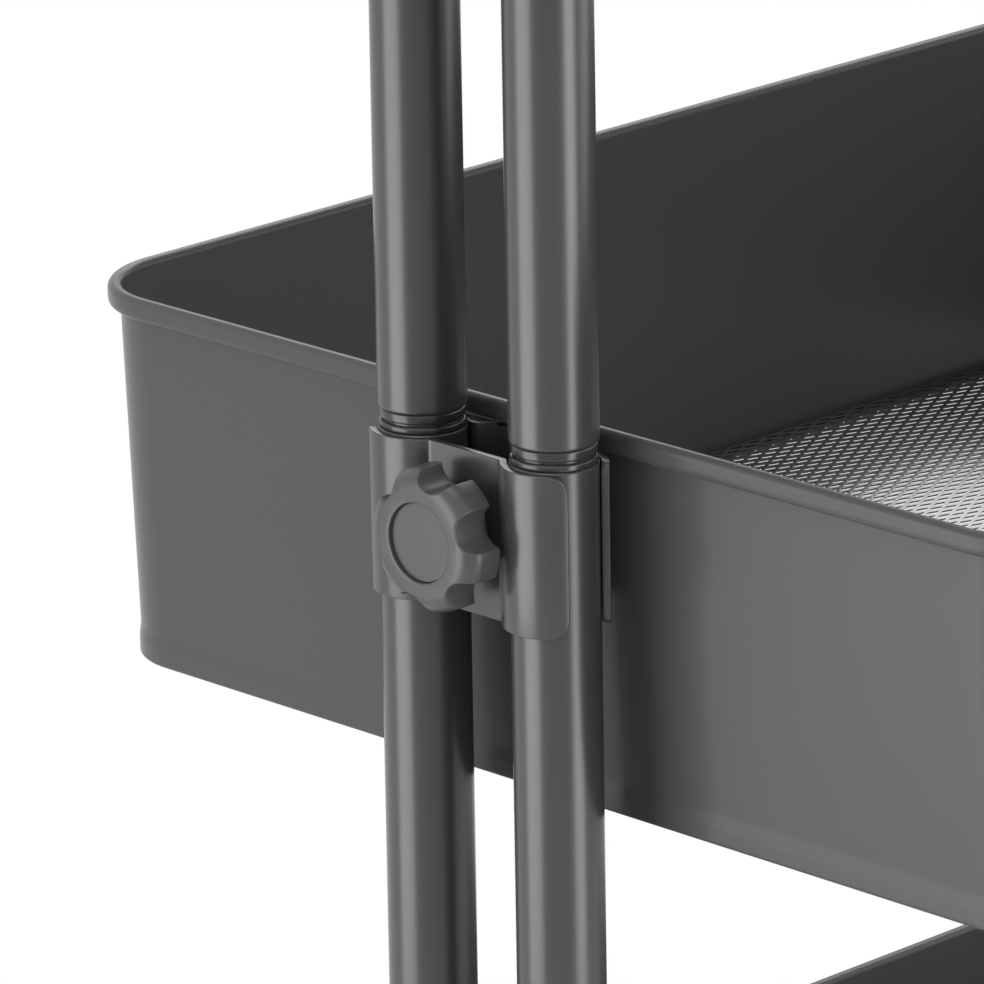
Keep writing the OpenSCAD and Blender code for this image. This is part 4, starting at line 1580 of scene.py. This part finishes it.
def joined(parts: Sequence[tuple[BMesh, Sequence[Matrix]]]) -> BMesh:
    """Puts copies of several meshes into one.

    Args:
        parts: Each mesh, which is freed, with the places of its copies.

    Returns:
        The mesh that holds them all.
    """
    whole = bmesh.new()
    for bm, places in parts:
        tidy(bm)
        copies(bm, places)
        mesh = bpy.data.meshes.new("part")
        bm.to_mesh(mesh)
        bm.free()
        whole.from_mesh(mesh)
        bpy.data.meshes.remove(mesh)
    return whole


def hexagon(width: float, height: float, steps: int = 8) -> Rings:
    """Hexagonal prism with the round chamfer of a nut on both its ends.

    Args:
        width: Width across the flats.
        height: Height of the prism.
        steps: Number of strokes along each side.

    Returns:
        The prism, ready to be drawn on from its top.
    """
    corner = width / math.sqrt(3)
    angles = [math.radians(60 * i) for i in range(7)]
    corners = [Vector(polar(corner, a)) for a in angles]
    pen = Outline(bmesh.new(), corner, 0.0)
    for start, stop in zip(corners, corners[1:]):
        for step in range(1, steps + 1):
            pen.to(*start.lerp(stop, step / steps))
    tidy_wire(pen)
    rings = Rings(pen)
    flat = 0.47 * width

    def sink(point: Vector) -> float:
        """Depth of the chamfer's edge under the prism's end."""
        return (math.hypot(point.x, point.y) - flat) * math.tan(math.radians(30))

    star = rings.points
    for vert in rings.face.verts:
        vert.co.z = sink(vert.co)
    rings.ring([Vector((p.x, p.y, height - sink(p))) for p in star]).circle(flat, height)
    return rings


@dataclass
class Fasteners:
    """Rivets, clamp bolts and cap nuts of one tier, at both ends."""

    tier: Tier
    rivet_r: float = 3.5 * MM
    rivet_h: float = 1.1 * MM
    web_front: float = 15.3 * MM
    wall_x: float = 18.1 * MM
    lean: float = 0.033
    bolt_r: float = 4 * MM
    pitch: float = 1.25 * MM
    thread_depth: float = 0.68 * MM
    head_r: float = 8 * MM
    head_h: float = 3.6 * MM
    valley_out: float = 8.2 * MM
    knob_reach: float = 17.3 * MM
    nut_w: float = 13 * MM
    nut_h: float = 6.5 * MM
    nut_dome_r: float = 5.9 * MM
    nut_dome_h: float = 5 * MM

    def inside(self, drop: float) -> float:
        """Distance of the wall's inner face at a depth under the rim."""
        return self.wall_x + self.lean * drop

    def rivets(self) -> None:
        """Makes the rivets, with a head on each side of the wall."""
        lay, outer, inner = LAYOUT, [], []
        for step in (-1, 1):
            drop = lay.bolt_drop + step * lay.rivet_reach
            z = self.tier.value - drop
            outer += lay.at_ends(along_x(-self.web_front, z))
            inner += lay.at_ends(along_x(-self.inside(drop + self.rivet_r), z) @ turn(180, "X"))
        bm = joined([(head(self.rivet_r, self.rivet_h).bm, places) for places in (outer, inner)])
        fit_piece(bm, f"{self.tier.word}_wall_rivets", PLATED_STEEL, f"{self.tier.word}_rivets")

    def thread(self, low: float, high: float) -> BMesh:
        """Winds a screw thread about Z.

        Args:
            low: Height of its start.
            high: Height of its end.

        Returns:
            The threaded rod.
        """
        bm, root, z = bmesh.new(), self.bolt_r - self.thread_depth, low - 2 * self.pitch
        profile = ((root, 0.2), (self.bolt_r, 0.56), (self.bolt_r, 0.64), (root, 1.0))
        pen = Outline(bm, root, z)
        while z < high + 2 * self.pitch:
            for radius, share in profile:
                pen.to(radius, z + share * self.pitch)
            z += self.pitch
        steps = 28
        bmesh.ops.spin(
            bm, geom=bm.verts[:] + bm.edges[:], cent=(0, 0, 0), axis=(0, 0, 1),
            dvec=(0, 0, self.pitch / steps), angle=math.tau, steps=steps,
        )
        bmesh.ops.remove_doubles(bm, verts=bm.verts[:], dist=MERGE)
        for height, side in ((low, -1), (high, 1)):
            cut(bm, (0, 0, height), (0, 0, side))
        bmesh.ops.holes_fill(bm, edges=[e for e in bm.edges if e.is_boundary], sides=0)
        return bm

    def bolts(self) -> None:
        """Makes the clamp bolts, with their domed heads inside the basket."""
        lay = LAYOUT
        z = self.tier.value - lay.bolt_drop
        inner = self.inside(lay.bolt_drop + self.head_r)
        tip = self.knob_reach if self.tier is Tier.MIDDLE else self.valley_out + self.nut_h
        bm = joined([
            (self.thread(-inner, tip), lay.at_ends(along_x(0.0, z))),
            (
                head(self.head_r, self.head_h, 0.4 * MM).bm,
                lay.at_ends(along_x(-inner, z) @ turn(180, "X")),
            ),
        ])
        word = self.tier.word
        fit_piece(bm, f"{word}_carriage_bolts", PLATED_STEEL, f"{word}_clamp_bolts")

    def nuts(self) -> None:
        """Makes the cap nuts of a fixed basket."""
        lay = LAYOUT
        rings = hexagon(self.nut_w, self.nut_h)
        foot, height = self.nut_dome_r, self.nut_dome_h
        rings.circle(foot, self.nut_h)
        ball = (foot**2 + height**2) / (2 * height)
        for i in range(1, 9):
            radius = foot * math.cos(math.pi / 2 * i / 8.6)
            rings.circle(radius, self.nut_h + math.sqrt(ball**2 - radius**2) - (ball - height))
        place = along_x(self.valley_out, self.tier.value - lay.bolt_drop)
        bm = joined([(rings.bm, lay.at_ends(place))])
        fit_piece(bm, f"{self.tier.word}_acorn_nuts", PLATED_STEEL, f"{self.tier.word}_cap_nuts")

    def build(self) -> None:
        """Makes all the fasteners of the tier."""
        self.rivets()
        self.bolts()
        if self.tier is not Tier.MIDDLE:
            self.nuts()


@dataclass
class CasterMounts:
    """What joins the casters to the legs: plugs in the tubes and stems with a hexagon."""

    top_z: float = 68 * MM
    flange_t: float = 3 * MM
    spigot_r: float = 9.75 * MM
    spigot_l: float = 8 * MM
    stem_r: float = 5 * MM
    hex_w: float = 17 * MM
    hex_h: float = 3.8 * MM
    housing_z: float = 56 * MM
    rivet_r: float = 7 * MM
    rivet_h: float = 2 * MM

    def build(self) -> None:
        """Makes the plugs and the stems of all four casters."""
        places = [LAYOUT.at_caster(end, face) for end in End for face in Face]
        z, r = self.top_z, LAYOUT.tube_r
        plug = Turned(self.stem_r, z, capped=False)
        plug.to(r - 0.7 * MM, z, KEEP_FLAT_SMALL).round(0.7 * MM, 0.7 * MM, True)
        flange, top = z + self.flange_t, z + self.flange_t + self.spigot_l
        plug.to(r, flange - 0.2 * MM, KEEP_FLAT_SMALL).to(r - 0.2 * MM, flange)
        plug.to(self.spigot_r, flange).to(self.spigot_r, top)
        plug.to(self.stem_r, top).to(self.stem_r, z)
        fit_piece(joined([(plug.bm, places)]), "leg_plugs", BLACK_PLASTIC, "caster_sockets")
        foot = self.housing_z - 0.2 * MM
        rod = Turned(self.stem_r, foot, 48).to(self.stem_r, top).cap()
        lift = [place @ shift(z=z - self.hex_h) for place in places]
        low = [place @ shift(z=foot) @ turn(180, "X") for place in places]
        bm = joined([
            (rod.bm, places),
            (hexagon(self.hex_w, self.hex_h).bm, lift),
            (head(self.rivet_r, self.rivet_h, 0.3 * MM).bm, low),
        ])
        fit_piece(bm, "caster_stem_bolts", PLATED_STEEL, "caster_stems")


@dataclass
class Caster:
    """Swivel caster: housing, fork, axle, wheel, tyre, and a brake on the left end's pair."""

    end: End
    face: Face
    trail: float = 20 * MM
    axle_z: float = 25 * MM
    boss_r: float = 7.5 * MM
    housing_r: float = 15 * MM
    housing_z: float = 56 * MM
    housing_h: float = 8 * MM
    bore_r: float = 5.1 * MM
    cheek_in: float = 10.6 * MM
    cheek_t: float = 2.6 * MM
    axle_r: float = 3 * MM
    axle_head_r: float = 5.5 * MM
    axle_head_h: float = 2.4 * MM
    wheel_w: float = 20 * MM
    wheel_r: float = 25 * MM
    tyre_t: float = 6 * MM
    rib_count: int = 8
    pin_x: float = 32 * MM
    pin_z: float = 51.5 * MM
    pin_r: float = 1.5 * MM
    pin_boss_r: float = 4.5 * MM
    tread_l: float = 26 * MM
    tread_w: float = 24 * MM
    tread_t: float = 3 * MM
    tread_rib: float = 0.8 * MM
    tread_angle: float = 16.0

    @property
    def braked(self) -> bool:
        """Whether this caster has a brake."""
        return self.end is End.LEFT

    @property
    def word(self) -> str:
        """The caster's part of a node name."""
        return f"{self.end.word}_{self.face.word}"

    @property
    def place(self) -> Matrix:
        """The caster's own frame."""
        return LAYOUT.at_caster(self.end, self.face)

    @property
    def wheel_place(self) -> Matrix:
        """The wheel's own frame, with Z along its axle."""
        return self.place @ shift(self.trail, 0.0, self.axle_z) @ turn(-90, "X")

    def cheek(self) -> BMesh:
        """Cuts one cheek of the fork from plate.

        Returns:
            The cheek.
        """
        half, low, high = self.housing_r, self.housing_z, self.housing_z + self.housing_h / 2
        pen = Outline(bmesh.new(), -half, high)
        pen.to(-half, low).to(self.trail - self.boss_r, self.axle_z)
        pen.arc(self.trail, self.axle_z, 180, 14)
        if self.braked:
            pen.to(self.pin_x + self.pin_boss_r, self.pin_z).arc(self.pin_x, self.pin_z, 90, 7)
        else:
            pen.to(half + self.boss_r, low)
        pen.to(half, high).close()
        face = bmesh.ops.contextual_create(pen.bm, geom=pen.bm.edges[:])["faces"][0]
        made = bmesh.ops.extrude_face_region(pen.bm, geom=[face])["geom"]
        moved = only(BMVert, made)
        bmesh.ops.translate(pen.bm, verts=moved, vec=(0.0, self.cheek_t, 0.0))
        tidy(pen.bm)
        soften(pen.bm, 0.5 * MM, BLOCK_CREASE, 3)
        return pen.bm

    def fork(self) -> None:
        """Makes the fork: housing, roof and two cheeks."""
        r, z, top = self.housing_r, self.housing_z, self.housing_z + self.housing_h
        out = self.cheek_in + self.cheek_t
        bore = self.bore_r
        housing = Turned(bore, z, capped=False)
        housing.to(r - 0.8 * MM, z, KEEP_FLAT_SMALL).round(0.8 * MM, 0.8 * MM, True, 4)
        housing.to(r, z + 2.6 * MM, KEEP_FLAT_SMALL).to(r - 0.5 * MM, z + 3 * MM)
        housing.to(r - 0.5 * MM, z + 3.6 * MM).to(r, z + 4 * MM)
        housing.to(r, top - 2 * MM, KEEP_FLAT_SMALL).round(-2 * MM, 2 * MM, False, 6)
        housing.to(10.2 * MM, top, KEEP_FLAT_SMALL)
        housing.to(9.8 * MM, top - 0.8 * MM).to(9.2 * MM, top - 0.8 * MM).to(8.8 * MM, top)
        housing.to(bore, top).to(bore, z)
        roof = block((2 * r, 2 * out, self.housing_h / 2), 0.6 * MM)
        bm = joined([
            (housing.bm, [self.place]),
            (roof, [self.place @ shift(z=z + self.housing_h / 4)]),
            (self.cheek(), [self.place @ shift(0.0, y) for y in (self.cheek_in, -out)]),
        ])
        fit_piece(bm, f"caster_fork_{self.word}", BLACK_PLASTIC, f"fork_{self.word}")

    def axle(self) -> None:
        """Makes the axle with a domed head on each side."""
        out = self.cheek_in + self.cheek_t
        rod = Turned(self.axle_r, -out, 32).to(self.axle_r, out).cap()
        faces = [self.wheel_place @ shift(z=out), self.wheel_place @ shift(z=-out) @ turn(180, "X")]
        bm = joined([
            (rod.bm, [self.wheel_place]),
            (head(self.axle_head_r, self.axle_head_h, 0.4 * MM).bm, faces),
        ])
        fit_piece(bm, f"wheel_axle_{self.word}", PLATED_STEEL, f"axle_{self.word}")

    def wheel(self) -> None:
        """Makes the wheel's core with its ribs, and the tyre."""
        half, hub_r, bore = self.wheel_w / 2, self.boss_r, self.axle_r + 0.05 * MM
        rim_r, web = self.wheel_r - self.tyre_t, self.wheel_w / 6
        rim_in, soft = rim_r - self.tyre_t / 2, 0.6 * MM
        core = Turned(bore, -half, capped=False)
        core.to(hub_r - soft, -half, KEEP_FLAT_LEAST).round(soft, soft, True, 3)
        core.to(hub_r, -web - soft).round(soft, soft, False, 3)
        core.to(rim_in - soft, -web).round(soft, -soft, True, 3)
        core.to(rim_in, -half + soft).round(soft, -soft, False, 3).to(rim_r, -half).to(rim_r, half)
        core.to(rim_in + soft, half).round(-soft, -soft, True, 3).to(rim_in, web + soft)
        core.round(-soft, -soft, False, 3).to(hub_r + soft, web).round(-soft, soft, True, 3)
        core.to(hub_r, half - soft).round(-soft, soft, False, 3)
        core.to(bore, half, KEEP_FLAT_LEAST).to(bore, -half)
        rib = block((rim_in - hub_r + 0.8 * MM, 1.6 * MM, 2 * half - 3 * MM), 0.4 * MM, 2)
        count = self.rib_count
        out = shift((hub_r + rim_in) / 2)
        ribs = [self.wheel_place @ turn(360 * i / count, "Z") @ out for i in range(count)]
        fit_piece(
            joined([(core.bm, [self.wheel_place]), (rib, ribs)]),
            f"wheel_core_{self.word}", BLACK_PLASTIC, f"wheel_{self.word}",
        )
        groove, tread_r, shoulder = 0.5 * MM, self.wheel_r, 2 * MM
        tyre = Turned(rim_r, -half, capped=False).to(tread_r - shoulder, -half, KEEP_FLAT_SMALL)
        tyre.round(shoulder, shoulder, True, 6)
        for middle in (-4 * MM, 4 * MM):
            tyre.to(tread_r, middle - groove, KEEP_FLAT_LEAST)
            tyre.to(tread_r - groove, middle - groove / 2)
            tyre.to(tread_r - groove, middle + groove / 2).to(tread_r, middle + groove)
        tyre.to(tread_r, half - shoulder, KEEP_FLAT_LEAST).round(-shoulder, shoulder, False, 6)
        tyre.to(rim_r, half, KEEP_FLAT_SMALL).to(rim_r, -half)
        fit_piece(
            joined([(tyre.bm, [self.wheel_place])]),
            f"wheel_tyre_{self.word}", TYRE_RUBBER, f"tyre_{self.word}",
        )

    def brake(self) -> None:
        """Makes the brake's pedal and its pin."""
        out, barrel = self.cheek_in + self.cheek_t, self.cheek_in - 0.6 * MM
        neck = self.pin_boss_r + 0.6 * MM
        hinge = self.place @ shift(self.pin_x, 0.0, self.pin_z)
        tilt = hinge @ turn(-self.tread_angle, "Y")
        bore = self.pin_r + 0.05 * MM
        sleeve = Turned(bore, -barrel, 40, capped=False)
        sleeve.to(2.6 * MM, -barrel).to(3 * MM, -barrel + 0.4 * MM).to(3 * MM, barrel - 0.4 * MM)
        sleeve.to(2.6 * MM, barrel).to(bore, barrel).to(bore, -barrel)
        thick, level = self.tread_t, self.tread_t - self.tread_rib
        arm = block((neck + thick, 2 * barrel, thick), 0.5 * MM)
        tread = block((self.tread_l, self.tread_w, level), 0.8 * MM)
        rib = block((1.4 * MM, self.tread_w - 4 * MM, 2 * self.tread_rib), 0.4 * MM)
        bm = joined([
            (sleeve.bm, [tilt @ turn(-90, "X")]),
            (arm, [tilt @ shift((neck + thick) / 2, 0.0, thick / 2)]),
            (tread, [tilt @ shift(neck + self.tread_l / 2, 0.0, level / 2)]),
            (rib, [tilt @ shift(neck + 4 * MM + i * 3.6 * MM, 0.0, level) for i in range(6)]),
        ])
        fit_piece(bm, f"brake_lever_{self.word}", BLACK_PLASTIC, f"brake_pedal_{self.word}")
        edge = 0.3 * MM
        pin = Turned(self.pin_r - edge, -out, 32).to(self.pin_r, -out + edge)
        pin.to(self.pin_r, out - edge).to(self.pin_r - edge, out).cap()
        fit_piece(
            joined([(pin.bm, [hinge @ turn(-90, "X")])]),
            f"brake_hinge_pin_{self.word}", PLATED_STEEL, f"brake_pin_{self.word}",
        )

    def build(self) -> None:
        """Makes the whole caster."""
        self.fork()
        self.axle()
        self.wheel()
        if self.braked:
            self.brake()


def dress_cad_nodes() -> None:
    """Gives every CAD node the finish of its slot, also where a piece stands for it."""
    usual = (TUBE_COAT, KNOB_PLASTIC, BLACK_PLASTIC, PLATED_STEEL, TYRE_RUBBER)
    finishes = {finish.slot.value: finish for finish in usual}
    for node in frame["nodes"].values():
        finish = finishes[node.data.materials[0].name]
        node.data.materials.clear()
        node.data.materials.append(finish.material())


@dataclass(frozen=True)
class SoftLight:
    """A rectangular soft light that looks at the cart."""

    name: str
    turn: float
    distance: float
    height: float
    width: float
    tall: float
    level: float

    def build(self, centre: Vector, towards: Vector) -> None:
        """Places the light round the cart.

        Args:
            centre: The point that it looks at.
            towards: Level direction from there to the camera.
        """
        side = turn(self.turn, "Z") @ towards
        data = bpy.data.lights.new(self.name, "AREA")
        data.shape = "RECTANGLE"
        data.size, data.size_y = self.width, self.tall
        data.energy = self.level * math.pi * self.width * self.tall
        lamp = add_object(self.name, data)
        lamp.location = Vector((centre.x, centre.y, self.height)) + side * self.distance
        aim = Vector((centre.x, centre.y, min(self.height, centre.z)))
        lamp.rotation_euler = (lamp.location - aim).to_track_quat("Z", "Y").to_euler()
        lamp.visible_camera = False


@dataclass
class Studio:
    """Camera of the photograph, soft lights, pale floor and white surround."""

    eye: tuple[float, float, float] = (-1.574915, -1.385871, 1.068265)
    ahead: tuple[float, float, float] = (0.66809, 0.67991, -0.30228)
    roll: float = -0.017
    lens: float = 308.68
    world_level: float = 0.95
    floor_grey: float = 206
    floor_size: float = 16.0
    white_from: tuple[float, float] = (420.0, 760.0)
    mirrored_from: tuple[float, float] = (-300.0, 100.0)
    centre: tuple[float, float, float] = (-0.2, 0.0, 0.45)
    lights: list[SoftLight] = field(default_factory=lambda: [
        SoftLight("left_softbox", -65, 0.7, 0.39, 0.52, 0.74, 4.2),
        SoftLight("right_strip", 51, 0.8, 0.39, 0.38, 0.76, 5.2),
        SoftLight("right_fill", 100, 1.5, 0.6, 0.9, 1.16, 1.35),
        SoftLight("back_softbox", 168, 1.5, 1.75, 1.7, 1.2, 3.6),
        SoftLight("top_softbox", -80, 0.25, 1.9, 0.8, 0.8, 3.0),
    ])

    def build(self) -> None:
        """Makes the whole studio."""
        self.camera()
        towards = -Vector((self.ahead[0], self.ahead[1], 0.0)).normalized()
        for light in self.lights:
            light.build(Vector(self.centre), towards)
        self.world()
        self.floor()
        bpy.context.scene.view_settings.view_transform = "Standard"

    def camera(self) -> None:
        """Makes the camera at the photograph's viewpoint."""
        ahead = Vector(self.ahead).normalized()
        level_right = ahead.cross((0.0, 0.0, 1.0)).normalized()
        level_up = level_right.cross(ahead)
        cos, sin = math.cos(self.roll), math.sin(self.roll)
        right = cos * level_right + sin * level_up
        up = cos * level_up - sin * level_right
        data = bpy.data.cameras.new("photo_camera")
        data.lens, data.sensor_width = self.lens, 36.0
        data.clip_start, data.clip_end = 0.05, 100.0
        camera = add_object("photo_camera", data)
        facing = Matrix((right, up, -ahead)).transposed().to_4x4()
        camera.matrix_world = shift(*self.eye) @ facing
        bpy.context.scene.camera = camera

    @staticmethod
    def background_ray(graph: Graph) -> Signal:
        """1 for the rays that look at the surround: from the camera, a gloss or a glass.

        Args:
            graph: The graph that asks.

        Returns:
            The mask.
        """
        seen = graph.node("ShaderNodeLightPath", output="Is Camera Ray")
        gloss = graph.node("ShaderNodeLightPath", output="Is Glossy Ray")
        glass = graph.node("ShaderNodeLightPath", output="Is Transmission Ray")
        return seen.larger(gloss).larger(glass)

    def world(self) -> None:
        """Makes the surround: white to look at, softer as light."""
        world = bpy.data.worlds.new("studio_surround")
        world.use_nodes = True
        bpy.context.scene.world = world
        graph = Graph(world.node_tree)
        ray = self.background_ray(graph)
        shade = graph.node(
            "ShaderNodeBackground", None,
            {"Color": (1.0, 1.0, 1.0), "Strength": self.world_level + (1 - self.world_level) * ray},
        )
        graph.node("ShaderNodeOutputWorld", None, {"Surface": shade})

    def floor(self) -> None:
        """Makes the pale floor, white far from the cart and shaded near it."""
        bm = bmesh.new()
        bmesh.ops.create_grid(bm, x_segments=8, y_segments=8, size=self.floor_size / 2)
        floor = finish_mesh(bm, "studio_floor", CREASE)
        material = bpy.data.materials.new("studio_floor")
        material.use_nodes = True
        graph = Graph(material.node_tree)
        where = graph.place()
        away = graph.node("ShaderNodeVectorMath", {"operation": "LENGTH"}, {0: where}, "Value")
        far = away.ramp(*self.white_from)
        level = Vector((self.ahead[0], self.ahead[1], 0.0)).normalized()
        ends = {0: where, 1: tuple(level)}
        depth = graph.node("ShaderNodeVectorMath", {"operation": "DOT_PRODUCT"}, ends, "Value")
        behind = depth.ramp(*self.mirrored_from)
        seen = graph.node("ShaderNodeLightPath", output="Is Camera Ray")
        matt = graph.node("ShaderNodeBsdfDiffuse", None, {"Color": linear(self.floor_grey)})
        white = graph.node("ShaderNodeEmission", None, {"Color": (1.0, 1.0, 1.0), "Strength": 1.0})
        shade = graph.node(
            "ShaderNodeMixShader", None,
            {0: far * seen.larger(behind * self.background_ray(graph)), 1: matt, 2: white},
        )
        graph.node("ShaderNodeOutputMaterial", None, {"Surface": shade})
        floor.data.materials.append(material)


def main() -> None:
    """Builds and dresses the cart, then its studio."""
    logging.basicConfig(level=logging.INFO, format="%(message)s")
    dress_cad_nodes()
    for tier in Tier:
        Basket(tier).build()
        ExpandedFloor(tier).build()
        FrontPlates(tier).build()
        BackPlates(tier).build()
        Fasteners(tier).build()
    CasterMounts().build()
    for end in End:
        HandleFrame(end).build()
        JointCollars(end).build()
        StarKnob(end).build()
        for face in Face:
            LowerUpright(end, face).build()
            Caster(end, face).build()
    Studio().build()


if __name__ == "__main__":
    main()
